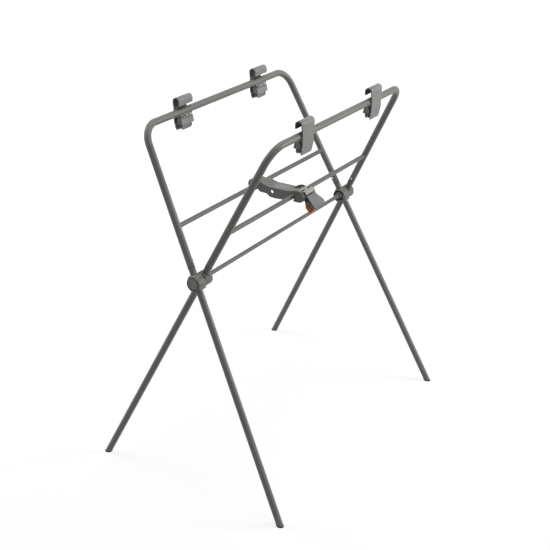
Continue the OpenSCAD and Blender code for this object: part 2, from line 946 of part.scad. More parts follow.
// Opening in the roof in front of the cover, and the raised ear of the far wall beside it
module roof_pocket() {
    translate([pocket_start, pocket_edge, 0])
        cube([pocket_length, strut_half - strut_wall - pocket_edge, 2 * head_height]);
}

module far_ear() {
    side_slab(strut_half - strut_wall, strut_half)
        polygon([
            [pocket_start - 5, waist_height - 4], [pocket_start - 4, waist_height],
            [pocket_start + 6, head_height], [pocket_start + 17, head_height + 2.6],
            [pocket_start + 24, head_height + 1], [pocket_start + 28, head_height - 5]
        ]);
}

pocket_start = 109;
pocket_length = 18;
pocket_edge = 3;
side_hole_x = 59;
side_hole_z = -2;
bush_sleeve = 9;

web_places = [38, 86];
web_t = 2;
web_depth = 8;

// A cross web inside the channel
module beam_web(x) {
    translate([x, -strut_half + 1, -web_depth])
        cube([web_t, strut_width - 2, web_depth + waist_height - 1.5]);
}

module strut_bush(end) {
    color(foot_colour)
        in_strut()
            mirror([0, end == near ? 1 : 0, 0])
                difference() {
                    union() {
                        rod_y(root_half - bush_sleeve + seat_fit, root_half, strut_bush_radius);
                        rod_y(root_half, root_half + flange_t, flange_radius);
                    }
                    rod_y(0, root_half + flange_t + 1, bar_r + run_fit);
                }
}

module strut_panel() {
    color(panel_colour)
        in_strut()
            translate([0, 0, waist_height - panel_t])
                linear_extrude(panel_t)
                    panel_plan(0);
}

// Light cover on the head, with two slots and a skirt that runs down to the pad
cover_t = 2;
slot_length = 13;

module latch_cover() {
    color(panel_colour)
        in_strut()
            difference() {
                side_slab(-strut_half + 1, strut_half - 1)
                    polygon([
                        [pin_x - 7, head_height], [pin_x - 7, head_height + cover_t],
                        [head_end - 2, head_height + cover_t], [head_end + 1.8, head_height - 4.4],
                        [head_end, head_height - 4.8], [head_end, head_height - 4],
                        [head_end - 3, head_height]
                    ]);
                for (y = [-strut_half + 3.5, strut_half - 3.5 - slot_length])
                    translate([pin_x + 2, y, head_height - 1])
                        cube([3, slot_length, cover_t + 2]);
            }
}

// ---------- handle ----------

// Height at which the handle's top plane meets the head's end
handle_z = head_height - 5.6;

// Puts its children on the handle's top plane: +X runs down its slope, +Y across
module on_handle() {
    translate([head_end, 0, handle_z])
        rotate([0, handle_slope, 0])
            children();
}

// Plan of the handle: straight on its near side, waisted and then wider on its far side
module handle_plan(margin) {
    a = handle_root_width / 2 - margin;
    n = handle_near_reach - margin;
    f = handle_far_reach - margin;
    l = handle_length - margin;
    polygon([
        [-9, -a], [4, -a], [l - 3.5, -n], [l - 0.8, -n + 0.9], [l, -n + 3.5],
        [l - 0.3, f - 8], [l - 3, f - 3], [l - 7.5, f - 0.3], [l - 14, f - 0.6], [22, f - 3.5],
        [18.5, f - 6], [14, a + 1.2], [9, a - 0.4], [4, a], [-9, a]
    ]);
}

// Removes all that lies on the strut's side of a plane across its end
module past(x) {
    difference() {
        children();
        translate([x - strut_width, -strut_width, -strut_width])
            cube([strut_width, 2 * strut_width, 2 * strut_width]);
    }
}

module grip_pad() {
    color(pad_colour)
        in_strut()
            past(head_end)
                on_handle()
                    translate([0, 0, -pad_t])
                        linear_extrude(pad_t)
                            handle_plan(0);
}

// The part of the beam under the pad, with a rib at each side of the trigger
module handle_arm() {
    past(head_end - strut_wall / 2)
        on_handle()
            translate([0, 0, -pad_t - handle_t])
                linear_extrude(handle_t)
                    handle_plan(0.8);
    for (side = [-1, 1])
        translate([0, side * (handle_root_width / 2 - rib_t), 0])
            side_slab(-rib_t / 2, rib_t / 2)
                polygon([
                    [head_end - strut_wall / 2, window_top + 2], [head_end - strut_wall / 2, -4],
                    [head_end + 3, -7], [head_end + 14, -13.5], [head_end + 11, -8]
                ]);
}

rib_t = 1.2;

// ---------- latch ----------

// The pin and the trigger's axis, in the strut's coordinates
module at_pin() {
    in_strut()
        translate([pin_x, 0, pin_z])
            children();
}

claw_y0 = strut_half + move_gap;
claw_y1 = claw_y0 + claw_t;
claw_floor = 1.6;

module latch_pin() {
    color(steel_colour)
        at_pin()
            rod_y(-claw_y1 + claw_floor + seat_fit, claw_y1 - claw_floor - seat_fit, pin_radius);
}

module claw_outline() {
    difference() {
        union() {
            translate([pin_x, pin_z])
                circle(r = claw_radius);
            polygon([
                [bar_gap + 3, -4], [bar_gap + 1.2, -9.4], [bar_gap + 5.5, -12.6],
                [pin_x - 4, -12.8], [pin_x, -6]
            ]);
        }
        bar_sweep(claw_clearance);
        translate([bar_gap - bar_od, 0])
            square([bar_od + bar_r + claw_clearance, bar_od]);
    }
}

// A claw, with a blind bore for the pin on its inner side
module claw(end) {
    inner = end * claw_y0;
    outer = end * claw_y1;
    blind = end * (claw_y1 - claw_floor);
    color(strut_colour)
        in_strut()
            difference() {
                side_slab(min(inner, outer), max(inner, outer)) claw_outline();
                translate([pin_x, 0, pin_z])
                    rod_y(min(0, blind), max(0, blind), pin_radius + seat_fit / 2);
            }
}

module trigger() {
    color(trigger_colour)
        in_strut()
            difference() {
                union() {
                    intersection() {
                        side_slab(-trigger_width / 2, trigger_width / 2) trigger_outline();
                        trigger_plan(0);
                    }
                    translate([pin_x, 0, pin_z])
                        rod_y(-trigger_width / 2, trigger_width / 2, trigger_hub_r);
                }
                intersection() {
                    side_slab(-trigger_width / 2, trigger_width / 2) trigger_cavity();
                    trigger_plan(trigger_wall);
                }
                translate([pin_x, 0, pin_z])
                    rod_y(-trigger_width, trigger_width, pin_radius + seat_fit / 2);
            }
}

// Shapes below are drawn round the latch pin's foot, with heights from the crossbars' level
trigger_neck = [5, 5];
trigger_knee = [23.3, -9.5];
trigger_tip = [28, -41.5];

trigger_hub_r = 6;

module trigger_outline() {
    translate([pin_x, 0])
        polygon([
            trigger_neck, trigger_knee, [38.5, -26.8], trigger_tip, [14.4, -28.5], [13.2, -17],
            [11, -10], [-2, -3.5]
        ]);
}

// Plan of the trigger, which narrows to its tip
module trigger_plan(margin) {
    w = trigger_width / 2 - margin;
    n = 4.5 - margin / 2;
    translate([pin_x, 0, -60])
        linear_extrude(90)
            polygon([
                [-20, -w], [23 - margin / 2, -w], [33 - margin / 2, 6 - w], [39 - margin, -n],
                [39 - margin, n], [33 - margin / 2, w - 6], [23 - margin / 2, w], [-20, w]
            ]);
}

// The trigger is a shell that opens towards the handle
module trigger_cavity() {
    translate([pin_x, 0])
        polygon([[16.4, -17], [17.2, -27.4], trigger_tip + [0.1, 3.6], [43, -25], [28, -6]]);
}

// Folded leaf between the head's roof and the trigger's neck
spring_t = 0.6;
spring_foot = 9;
spring_half_width = 5;

module trigger_spring() {
    roof = head_height - strut_wall - seat_fit;
    fall = (trigger_neck[1] - trigger_knee[1]) / (trigger_knee[0] - trigger_neck[0]);
    foot_z = trigger_neck[1] - fall * (spring_foot - trigger_neck[0]) + 2 * seat_fit;
    color(steel_colour)
        in_strut()
            translate([pin_x, 0, 0])
                side_slab(-spring_half_width, spring_half_width)
                    polygon([
                        [2, roof], [spring_foot + 3, roof], [spring_foot + 3, roof - spring_t],
                        [3, roof - spring_t], [spring_foot + 0.6, foot_z + spring_t],
                        [spring_foot, foot_z], [2, roof - 2 * spring_t]
                    ]);
}

// ---------- the object ----------

upper_frame(false);  // upper_frame_a
crossbar(false);  // crossbar_a
leg(false, near);  // leg_a_near
leg(false, far);  // leg_a_far
foot(false, near);  // foot_a_near
foot(false, far);  // foot_a_far
snap_spring(false, near);  // snap_spring_a_near
snap_spring(false, far);  // snap_spring_a_far
snap_button(false, near);  // snap_button_a_near
snap_button(false, far);  // snap_button_a_far
hub_half(false, near);  // hub_half_a_near
hub_half(false, far);  // hub_half_a_far
hub_screw(false);  // hub_screw_a
hub_cap(false);  // hub_cap_near
axle_tube();
pivot_bolt(near);  // pivot_bolt_near
pivot_bolt(far);  // pivot_bolt_far
thrust_washer(near);  // thrust_washer_near
thrust_washer(far);  // thrust_washer_far
clip_hook(false, near);  // clip_hook_a_near
clip_hook(false, far);  // clip_hook_a_far
clip_jaw(false, near);  // clip_jaw_a_near
clip_jaw(false, far);  // clip_jaw_a_far
clip_screws(false);  // clip_screws_a
upper_frame(true);  // upper_frame_b
crossbar(true);  // crossbar_b
leg(true, near);  // leg_b_near
leg(true, far);  // leg_b_far
foot(true, near);  // foot_b_near
foot(true, far);  // foot_b_far
snap_spring(true, near);  // snap_spring_b_near
snap_spring(true, far);  // snap_spring_b_far
snap_button(true, near);  // snap_button_b_near
snap_button(true, far);  // snap_button_b_far
hub_half(true, near);  // hub_half_b_near
hub_half(true, far);  // hub_half_b_far
hub_screw(true);  // hub_screw_b
hub_cap(true);  // hub_cap_far
pivot_bush(near);  // pivot_bush_near
pivot_bush(far);  // pivot_bush_far
clip_hook(true, near);  // clip_hook_b_near
clip_hook(true, far);  // clip_hook_b_far
clip_jaw(true, near);  // clip_jaw_b_near
clip_jaw(true, far);  // clip_jaw_b_far
clip_screws(true);  // clip_screws_b
strut_beam();
strut_bush(near);  // strut_bush_near
strut_bush(far);  // strut_bush_far
strut_panel();
latch_cover();
grip_pad();
latch_pin();
claw(near);  // claw_near
claw(far);  // claw_far
trigger();
trigger_spring();
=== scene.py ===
"""Looks of a folding baby bath stand, built round its packed construction model.

The construction model holds every piece that carries load or moves. This script gives each of
them its finish and its rounded edges, with a painted highlight on moulded edges, adds the small
parts that only the eye needs, among them dark pieces that paint shade and light strips that
paint a highlight, and sets the floor, the light and the camera. Lengths are in metres.
"""

import json
import logging
import math
from dataclasses import dataclass, field
from enum import Enum
from functools import cached_property
from typing import Callable, Iterable, Sequence

import bmesh
import bpy
from mathutils import Matrix, Vector


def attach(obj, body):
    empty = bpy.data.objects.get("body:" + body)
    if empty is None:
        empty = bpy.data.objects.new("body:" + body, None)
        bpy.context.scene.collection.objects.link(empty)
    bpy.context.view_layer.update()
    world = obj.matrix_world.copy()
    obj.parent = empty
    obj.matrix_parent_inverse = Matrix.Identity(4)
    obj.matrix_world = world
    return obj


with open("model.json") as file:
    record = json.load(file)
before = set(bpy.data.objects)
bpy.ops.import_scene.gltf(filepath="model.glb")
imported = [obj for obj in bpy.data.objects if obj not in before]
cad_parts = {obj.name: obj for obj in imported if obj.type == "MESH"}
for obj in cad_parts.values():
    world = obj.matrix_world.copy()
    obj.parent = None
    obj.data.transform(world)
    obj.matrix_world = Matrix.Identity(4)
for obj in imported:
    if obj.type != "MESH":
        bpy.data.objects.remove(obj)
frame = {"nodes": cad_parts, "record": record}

Colour = tuple[float, float, float]
Triple = tuple[float, float, float]
Pair = tuple[float, float]
Outline = Sequence[Pair]
Socket = bpy.types.NodeSocket
WHITE = (1.0, 1.0, 1.0)
SUNK = 0.0001  # how far an added piece reaches into the face that it stands on
LOG = logging.getLogger("bath_stand")


# ---------- places ----------


class Frame(Enum):
    """The two crossed frames, named as their bodies are."""

    A = "frame_a"
    B = "frame_b"

    @property
    def letter(self) -> str:
        """The letter that the frame's node names carry."""
        return self.value[-1]


class End(Enum):
    """The two ends of the stand along Y."""

    NEAR = -1
    FAR = 1

    @property
    def word(self) -> str:
        """The word that node names carry for this end."""
        return self.name.lower()


@dataclass(frozen=True)
class Stance:
    """Layout of the two frames, from which the places of the small parts are worked out.

    Args:
        lean: Lean of a frame from vertical, in degrees.
        splay: Angle by which the arms close in towards the rail, in degrees.
        hub_height: Height of the axle above the floor.
        hub_span: Distance between the parting planes of the two pivots.
        tube_offset: Distance from a parting plane to the centre of a leg.
        bar_rise: Height of a crossbar above the axle, in the plane of its frame.
        rail_rise: Height of a rail above the axle, in the plane of its frame.
        strut_y: Place of the lock strut's middle along the crossbars.
        frame_radius: Outer radius of the bent upper tubes.
        bar_radius: Outer radius of the crossbars.
    """

    lean: float = 26.6
    splay: float = 5.65
    hub_height: float = 0.56573
    hub_span: float = 0.720
    tube_offset: float = 0.013
    bar_rise: float = 0.1398
    rail_rise: float = 0.39
    strut_y: float = -0.005
    frame_radius: float = 0.009
    bar_radius: float = 0.006

    def frame_matrix(self, which: Frame) -> Matrix:
        """Matrix from a frame's own plane (Y across, Z up the arms) to the row frame.

        Args:
            which: The frame.

        Returns:
            The matrix that places the frame.
        """
        turn = Matrix.Rotation(math.pi if which is Frame.B else 0.0, 4, "Z")
        lift = Matrix.Translation((0.0, 0.0, self.hub_height))
        return turn @ lift @ Matrix.Rotation(-math.radians(self.lean), 4, "Y")

    def strut_matrix(self) -> Matrix:
        """Matrix from the lock strut's own axes, on crossbar A, to the row frame."""
        bar = self.frame_matrix(Frame.A) @ Vector((0.0, 0.0, self.bar_rise))
        return Matrix.Translation((bar.x, self.strut_y, bar.z))

    def arm_matrix(self, which: Frame, end: int, height: float) -> Matrix:
        """Matrix from a place on an arm, with Z up the arm, to the row frame.

        Args:
            which: The frame.
            end: -1 or 1, the frame's own end.
            height: Height above the axle in the frame's plane.

        Returns:
            The matrix.
        """
        place = Matrix.Translation((0.0, self.tube_y(end, height), height))
        tilt = Matrix.Rotation(end * math.radians(self.splay), 4, "X")
        return self.frame_matrix(which) @ place @ tilt

    def rail_centre(self, which: Frame) -> Vector:
        """Middle of a frame's rail, in the row frame."""
        return self.frame_matrix(which) @ Vector((0.0, 0.0, self.rail_rise))

    def tube_y(self, end: int, height: float) -> float:
        """Place of an arm's centre line across its frame.

        Args:
            end: -1 or 1, the frame's own end.
            height: Height above the axle in the frame's plane.

        Returns:
            The distance along Y from the frame's middle.
        """
        slope = math.tan(math.radians(self.splay))
        return end * self.hub_span / 2 - self.tube_offset - end * height * slope


# ---------- node graphs and finishes ----------


@dataclass(frozen=True)
class Mottle:
    """Noise that comes and goes over a surface, such as clouds, dust or rubbed spots.

    Args:
        scale: Cells of noise per metre.
        detail: Octaves of detail.
        low: Noise at which a patch starts.
        high: Noise at which a patch is full.
        clear: Strength between the patches.
        full: Strength of a full patch.
        rough: How strong the finer octaves are.
        stretch: Scale of the noise by axis, or None where it is even.
        tone: Factor of the finish's colour in a full patch.
    """

    scale: float
    detail: float
    low: float = 0.3
    high: float = 0.7
    clear: float = 0.0
    full: float = 1.0
    rough: float = 0.5
    stretch: Triple | None = None
    tone: float = 1.0


class Graph:
    """The node tree of a material or a world, with short calls that add and join its nodes."""

    def __init__(self, owner: bpy.types.Material | bpy.types.World) -> None:
        """Empties the tree and gives it an output node.

        Args:
            owner: The material or the world.
        """
        owner.use_nodes = True
        self.owner = owner
        self.tree = owner.node_tree
        self.tree.nodes.clear()
        is_world = isinstance(owner, bpy.types.World)
        self.output = self.add("OutputWorld" if is_world else "OutputMaterial")

    @cached_property
    def place(self) -> Socket:
        """The object's own coordinates, in metres."""
        return self.add("TexCoord").outputs["Object"]

    def add(self, kind: str, **settings: object) -> bpy.types.Node:
        """Adds a node.

        Args:
            kind: The node's type without its ShaderNode prefix.
            **settings: Properties to set on the node.

        Returns:
            The new node.
        """
        node = self.tree.nodes.new("ShaderNode" + kind)
        for key, value in settings.items():
            setattr(node, key, value)
        return node

    def feed(self, node: bpy.types.Node, **inputs: object) -> bpy.types.Node:
        """Sets or joins inputs of a node.

        Args:
            node: The node.
            **inputs: Input names, with _ for a space, and their socket, number or colour.

        Returns:
            The same node.
        """
        for key, value in inputs.items():
            socket = node.inputs[key.replace("_", " ")]
            if isinstance(value, Socket):
                self.tree.links.new(value, socket)
            elif isinstance(value, tuple) and len(value) == 3 and socket.type == "RGBA":
                socket.default_value = (*value, 1.0)
            else:
                socket.default_value = value
        return node

    def noise(self, mottle: Mottle) -> Socket:
        """The bare noise of a mottle over the object.

        Args:
            mottle: The mottle.

        Returns:
            The socket that holds the noise, from 0 to 1.
        """
        place = self.place
        if mottle.stretch:
            place = self.feed(self.add("Mapping"), Vector=place, Scale=mottle.stretch).outputs[0]
        node = self.feed(self.add("TexNoise"), Vector=place, Scale=mottle.scale,
                         Detail=mottle.detail, Roughness=mottle.rough)
        return node.outputs[0]

    def cells(self, scale: float) -> Socket:
        """Distance to the nearest of many scattered points, with so many cells per metre."""
        node = self.feed(self.add("TexVoronoi"), Vector=self.place, Scale=scale)
        return node.outputs["Distance"]

    def remap(self, value: Socket, low: float, high: float, to_low: float,
              to_high: float) -> Socket:
        """Maps a range of values to another and clamps it.

        Args:
            value: The incoming socket.
            low: Start of the incoming range.
            high: End of the incoming range.
            to_low: Value at its start.
            to_high: Value at its end.

        Returns:
            The socket that holds the mapped value.
        """
        node = self.feed(self.add("MapRange"), Value=value, From_Min=low, From_Max=high,
                         To_Min=to_low, To_Max=to_high)
        return node.outputs[0]

    def patches(self, mottle: Mottle, middle: float = 0.0) -> Socket:
        """Strength of a mottle's patches over the object.

        Args:
            mottle: The mottle.
            middle: Value about which the strength goes up and down.

        Returns:
            The socket that holds the value and the strength together.
        """
        return self.remap(self.noise(mottle), mottle.low, mottle.high, middle + mottle.clear,
                          middle + mottle.full)

    def math(self, operation: str, first: Socket | float, second: Socket | float) -> Socket:
        """Works out one value from two.

        Args:
            operation: Name of the operation.
            first: The first value.
            second: The second value.

        Returns:
            The socket that holds the result.
        """
        node = self.add("Math", operation=operation)
        for socket, value in zip(node.inputs, (first, second)):
            if isinstance(value, Socket):
                self.tree.links.new(value, socket)
            else:
                socket.default_value = value
        return node.outputs[0]

    def mix(self, factor: Socket, first: Socket | Colour, second: Socket | Colour) -> Socket:
        """A colour between two colours.

        Args:
            factor: How much of the second colour shows.
            first: The first colour.
            second: The second colour.

        Returns:
            The socket that holds the mixed colour.
        """
        node = self.add("Mix", data_type="RGBA")
        sockets = {s.identifier: s for s in node.inputs}
        self.tree.links.new(factor, sockets["Factor_Float"])
        for key, value in (("A_Color", first), ("B_Color", second)):
            if isinstance(value, Socket):
                self.tree.links.new(value, sockets[key])
            else:
                sockets[key].default_value = (*value, 1.0)
        return next(s for s in node.outputs if s.identifier == "Result_Color")

    def tinted(self, colour: Colour, between: float, layers: Sequence[Mottle]) -> Socket:
        """A colour with mottled layers of lighter and darker tones.

        Args:
            colour: The finish's own colour.
            between: Factor of that colour between the patches of the first layer.
            layers: The layers, from the lowest up.

        Returns:
            The socket that holds the mottled colour.
        """
        result = shade(colour, between)
        for layer in layers:
            result = self.mix(self.patches(layer), result, shade(colour, layer.tone))
        return result

    def edges(self, radius: float, reach: float = 0.16) -> Socket:
        """Mask of a surface's outer and inner edges.

        Args:
            radius: How far from an edge the mask reaches.
            reach: How much the surface has to turn for a full mask.

        Returns:
            The socket that holds the mask, from 0 to 1.
        """
        bevel = self.feed(self.add("Bevel", samples=4), Radius=radius)
        flat = self.add("NewGeometry").outputs["Normal"]
        dot = self.add("VectorMath", operation="DOT_PRODUCT")
        self.tree.links.new(bevel.outputs[0], dot.inputs[0])
        self.tree.links.new(flat, dot.inputs[1])
        return self.remap(dot.outputs["Value"], 1.0, 1.0 - reach, 0.0, 1.0)

    def worn(self, below: Socket, colour: Colour, wear: Mottle, reach: float,
             strength: float = 1.0) -> Socket:
        """Lays lighter edges on a colour, unevenly: rubbed edges, and on moulded plastic a painted
        edge highlight as well.

        Args:
            below: The colour so far.
            colour: The finish's own colour.
            wear: Where and how much the edges are lighter.
            reach: How far from an edge the lightening reaches.
            strength: Factor of the lightening.

        Returns:
            The socket that holds the colour.
        """
        patches = self.math("MULTIPLY", self.patches(wear), strength)
        mask = self.math("MULTIPLY", self.edges(reach), patches)
        return self.mix(mask, below, shade(colour, wear.tone))

    def bump(self, height: Socket, depth: float, below: Socket | None = None) -> Socket:
        """A bumped normal.

        Args:
            height: The height field, from 0 to 1.
            depth: Its full height.
            below: Another bumped normal that this one goes on top of.

        Returns:
            The socket that holds the normal.
        """
        node = self.feed(self.add("Bump"), Height=height, Distance=depth, Strength=1.0)
        if below is not None:
            self.tree.links.new(below, node.inputs["Normal"])
        return node.outputs[0]

    def seen(self) -> Socket:
        """Tells what the eye sees, straight, mirrored or through glass, from bounced light.

        Returns:
            The socket that holds 1 for what is seen and 0 for the rest.
        """
        path = self.add("LightPath").outputs
        mirrored = self.math("MAXIMUM", path["Is Glossy Ray"], path["Is Transmission Ray"])
        return self.math("MAXIMUM", path["Is Camera Ray"], mirrored)

    def blend(self, factor: Socket, first: Socket, second: Socket) -> Socket:
        """A shader between two shaders.

        Args:
            factor: How much of the second shader shows.
            first: The first shader.
            second: The second shader.

        Returns:
            The socket that holds the blend.
        """
        node = self.add("MixShader")
        for value, socket in zip((factor, first, second), node.inputs):
            self.tree.links.new(value, socket)
        return node.outputs[0]

    def end(self, shader: Socket) -> bpy.types.Material | bpy.types.World:
        """Joins a shader to the output and hands back the material or the world."""
        self.tree.links.new(shader, self.output.inputs["Surface"])
        return self.owner

    def surface(self, **inputs: object) -> bpy.types.Material:
        """Ends the graph with a principled shader.

        Args:
            **inputs: Inputs of the shader, with _ for a space.

        Returns:
            The finished material.
        """
        return self.end(self.feed(self.add("BsdfPrincipled"), **inputs).outputs[0])


def shade(colour: Colour, factor: float) -> Colour:
    """A colour made lighter or darker by a factor."""
    return tuple(min(1.0, c * factor) for c in colour)


@dataclass(frozen=True)
class PowderCoat:
    """Fine powder coat on steel tube, with orange peel, faint clouds and rubbed spots.

    Args:
        name: Name of the material.
        colour: Colour of the coat.
        roughness: Middle roughness of the coat.
        uneven: How the roughness goes up and down.
        between: Tone of the coat between the clouds.
        layers: The clouds, the light specks and the rubbed spots.
        wear: Wear of the edges.
        edge_reach: How far from an edge the rubbed edges reach.
        peel: The orange peel.
        peel_depth: Its depth.
        fine: The finer grain on the orange peel.
        fine_share: Depth of that grain, as a share of the orange peel's.
    """

    name: str
    colour: Colour
    roughness: float = 0.42
    uneven: Mottle = Mottle(45.0, 5.0, clear=-0.05, full=0.07)
    between: float = 0.93
    layers: tuple[Mottle, ...] = (
        Mottle(9.0, 4.0, tone=1.07),
        Mottle(2600.0, 1.0, 0.58, 0.75, full=0.35, tone=1.5),
        Mottle(60.0, 8.0, 0.63, 0.74, full=0.5, rough=0.7, stretch=(1.0, 1.0, 3.0), tone=1.35))
    wear: Mottle = Mottle(240.0, 5.0, 0.4, 0.65, clear=0.1, full=0.7, tone=1.8)
    edge_reach: float = 0.0006
    peel: Mottle = Mottle(700.0, 3.0, rough=0.55)
    peel_depth: float = 0.00004
    fine: Mottle = Mottle(3400.0, 1.0)
    fine_share: float = 0.35

    def build(self) -> bpy.types.Material:
        """Makes the material.

        Returns:
            The material.
        """
        g = Graph(bpy.data.materials.new(self.name))
        colour = g.tinted(self.colour, self.between, self.layers)
        colour = g.worn(colour, self.colour, self.wear, self.edge_reach)
        peel = g.bump(g.noise(self.peel), self.peel_depth)
        skin = g.bump(g.noise(self.fine), self.peel_depth * self.fine_share, peel)
        return g.surface(Base_Color=colour, Roughness=g.patches(self.uneven, self.roughness),
                         Normal=skin, Specular_IOR_Level=0.35, Coat_Weight=0.08,
                         Coat_Roughness=0.3)


@dataclass(frozen=True)
class MouldedPlastic:
    """Moulded plastic with spark-eroded grain, flow clouds, and brighter edges from scuffs and a
    painted edge highlight.

    Args:
        name: Name of the material.
        colour: Colour of the plastic.
        roughness: Middle roughness.
        uneven: How the roughness goes up and down.
        between: Tone of the plastic between the flow clouds.
        layers: The flow clouds and the dust.
        wear: Where the edges are lighter: scuffs of the handled edges and a painted edge highlight.
        edge: How much lighter the edges are, from the scuffs and the painted edge highlight.
        edge_reach: How far from an edge the scuffs and the painted edge highlight reach.
        pits: Pits of the moulded grain per metre.
        pit_depth: Their depth.
        fine: The finer grain on them.
        fine_share: Depth of that grain, as a share of the pits'.
    """

    name: str
    colour: Colour
    roughness: float = 0.5
    uneven: Mottle = Mottle(55.0, 5.0, clear=-0.05, full=0.06)
    between: float = 0.95
    layers: tuple[Mottle, ...] = (
        Mottle(30.0, 3.0, rough=0.4, stretch=(1.0, 0.35, 1.0), tone=1.05),
        Mottle(900.0, 4.0, 0.62, 0.78, full=0.3, rough=0.7, tone=1.25))
    wear: Mottle = Mottle(130.0, 8.0, 0.45, 0.7, clear=0.15, rough=0.75, tone=1.6)
    edge: float = 0.4
    edge_reach: float = 0.0007
    pits: float = 1500.0
    pit_depth: float = 0.00005
    fine: Mottle = Mottle(3000.0, 2.0)
    fine_share: float = 0.5

    def build(self) -> bpy.types.Material:
        """Makes the material.

        Returns:
            The material.
        """
        g = Graph(bpy.data.materials.new(self.name))
        colour = g.tinted(self.colour, self.between, self.layers)
        # Lighter edges: scuffs and a painted edge highlight.
        colour = g.worn(colour, self.colour, self.wear, self.edge_reach, self.edge)
        pits = g.bump(g.cells(self.pits), self.pit_depth)
        skin = g.bump(g.noise(self.fine), self.pit_depth * self.fine_share, pits)
        return g.surface(Base_Color=colour, Roughness=g.patches(self.uneven, self.roughness),
                         Normal=skin, Specular_IOR_Level=0.4)


@dataclass(frozen=True)
class SoftTouch:
    """Soft rubbery overmould or rubber, matt, with a fine pebbled skin.

    Args:
        name: Name of the material.
        colour: Colour of the rubber.
        roughness: Middle roughness.
        uneven: How the roughness goes up and down.
        between: Tone of the rubber between the clouds.
        layers: The clouds and the dust.
        pebbles: Pebbles of the skin per metre.
        pebble_depth: Their depth.
        fine: The finer grain on them.
        fine_share: Depth of that grain, as a share of the pebbles'.
        sheen: Strength of the soft bloom at grazing angles.
    """

    name: str
    colour: Colour
    roughness: float = 0.75
    uneven: Mottle = Mottle(80.0, 5.0, clear=-0.08, full=0.08)
    between: float = 0.93
    layers: tuple[Mottle, ...] = (
        Mottle(60.0, 4.0, tone=1.06),
        Mottle(600.0, 6.0, 0.57, 0.75, full=0.3, rough=0.7, tone=1.4))
    pebbles: float = 1100.0
    pebble_depth: float = 0.00008
    fine: Mottle = Mottle(2400.0, 2.0)
    fine_share: float = 0.4
    sheen: float = 0.1

    def build(self) -> bpy.types.Material:
        """Makes the material.

        Returns:
            The material.
        """
        g = Graph(bpy.data.materials.new(self.name))
        pebbles = g.bump(g.cells(self.pebbles), self.pebble_depth)
        skin = g.bump(g.noise(self.fine), self.pebble_depth * self.fine_share, pebbles)
        return g.surface(Base_Color=g.tinted(self.colour, self.between, self.layers),
                         Roughness=g.patches(self.uneven, self.roughness), Normal=skin,
                         Specular_IOR_Level=0.3, Sheen_Weight=self.sheen)


@dataclass(frozen=True)
class PlatedSteel:
    """Zinc plated steel with a brushed grain and dull patches.

    Args:
        name: Name of the material.
        colour: Colour of the metal.
        roughness: Middle roughness.
        uneven: How the roughness goes up and down.
        between: Tone of the metal between the brushed lines.
        brushed: The brushed lines.
        brush_depth: Their depth.
        dull: The dull patches.
    """

    name: str
    colour: Colour
    roughness: float = 0.28
    uneven: Mottle = Mottle(220.0, 5.0, clear=-0.06, full=0.1)
    between: float = 0.86
    brushed: Mottle = Mottle(900.0, 6.0, 0.35, 0.65, rough=0.7, stretch=(1.0, 0.05, 1.0), tone=1.05)
    brush_depth: float = 0.00002
    dull: Mottle = Mottle(180.0, 6.0, 0.5, 0.72, full=0.5, rough=0.65, tone=0.7)

    def build(self) -> bpy.types.Material:
        """Makes the material.

        Returns:
            The material.
        """
        g = Graph(bpy.data.materials.new(self.name))
        lines = g.bump(g.noise(self.brushed), self.brush_depth)
        return g.surface(Base_Color=g.tinted(self.colour, self.between, (self.brushed, self.dull)),
                         Roughness=g.patches(self.uneven, self.roughness), Normal=lines,
                         Metallic=1.0)


@dataclass(frozen=True)
class StudioFloor:
    """Pale seamless floor: a plain grey for bounced light, and white with a soft shadow to the eye.

    Args:
        name: Name of the material.
        bounce: Colour of the floor for the light that it throws back on the stand.
        shown: Colour of the floor where it is seen or mirrored.
        between: Tone of that colour between the patches of its grain.
        grain: The faint grain of that colour.
        veil: Share of plain white over the shadow near the stand.
        veil_light: Strength of that white.
        fade_start: Distance from the middle where the fade to plain white starts.
        fade_end: Distance where the floor is plain white.
    """

    name: str = "studio_floor"
    bounce: Colour = (0.52, 0.52, 0.52)
    shown: Colour = (0.86, 0.86, 0.86)
    between: float = 0.99
    grain: Mottle = Mottle(40.0, 6.0, tone=1.01)
    veil: float = 0.72
    veil_light: float = 1.10
    fade_start: float = 0.9
    fade_end: float = 2.2

    def build(self) -> bpy.types.Material:
        """Makes the material.

        Returns:
            The material.
        """
        g = Graph(bpy.data.materials.new(self.name))
        far = g.add("VectorMath", operation="LENGTH")
        g.tree.links.new(g.place, far.inputs[0])
        fade = g.remap(far.outputs["Value"], self.fade_start, self.fade_end, self.veil, 1.0)
        plain = g.feed(g.add("BsdfDiffuse"), Color=self.bounce)
        lit = g.feed(g.add("BsdfDiffuse"), Color=g.tinted(self.shown, self.between, (self.grain,)))
        white = g.feed(g.add("Emission"), Color=WHITE, Strength=self.veil_light)
        shown = g.blend(fade, lit.outputs[0], white.outputs[0])
        return g.end(g.blend(g.seen(), plain.outputs[0], shown))


# ---------- meshes ----------


def mesh_object(name: str, bm: bmesh.types.BMesh, smooth: bool = True) -> bpy.types.Object:
    """Turns a bmesh into an object in the scene.

    Args:
        name: Name of the object.
        bm: The mesh, which is freed.
        smooth: Whether its faces are shaded smooth.

    Returns:
        The new object.
    """
    bmesh.ops.recalc_face_normals(bm, faces=bm.faces)
    mesh = bpy.data.meshes.new(name)
    bm.to_mesh(mesh)
    bm.free()
    mesh.polygons.foreach_set("use_smooth", [smooth] * len(mesh.polygons))
    obj = bpy.data.objects.new(name, mesh)
    bpy.context.scene.collection.objects.link(obj)
    return obj


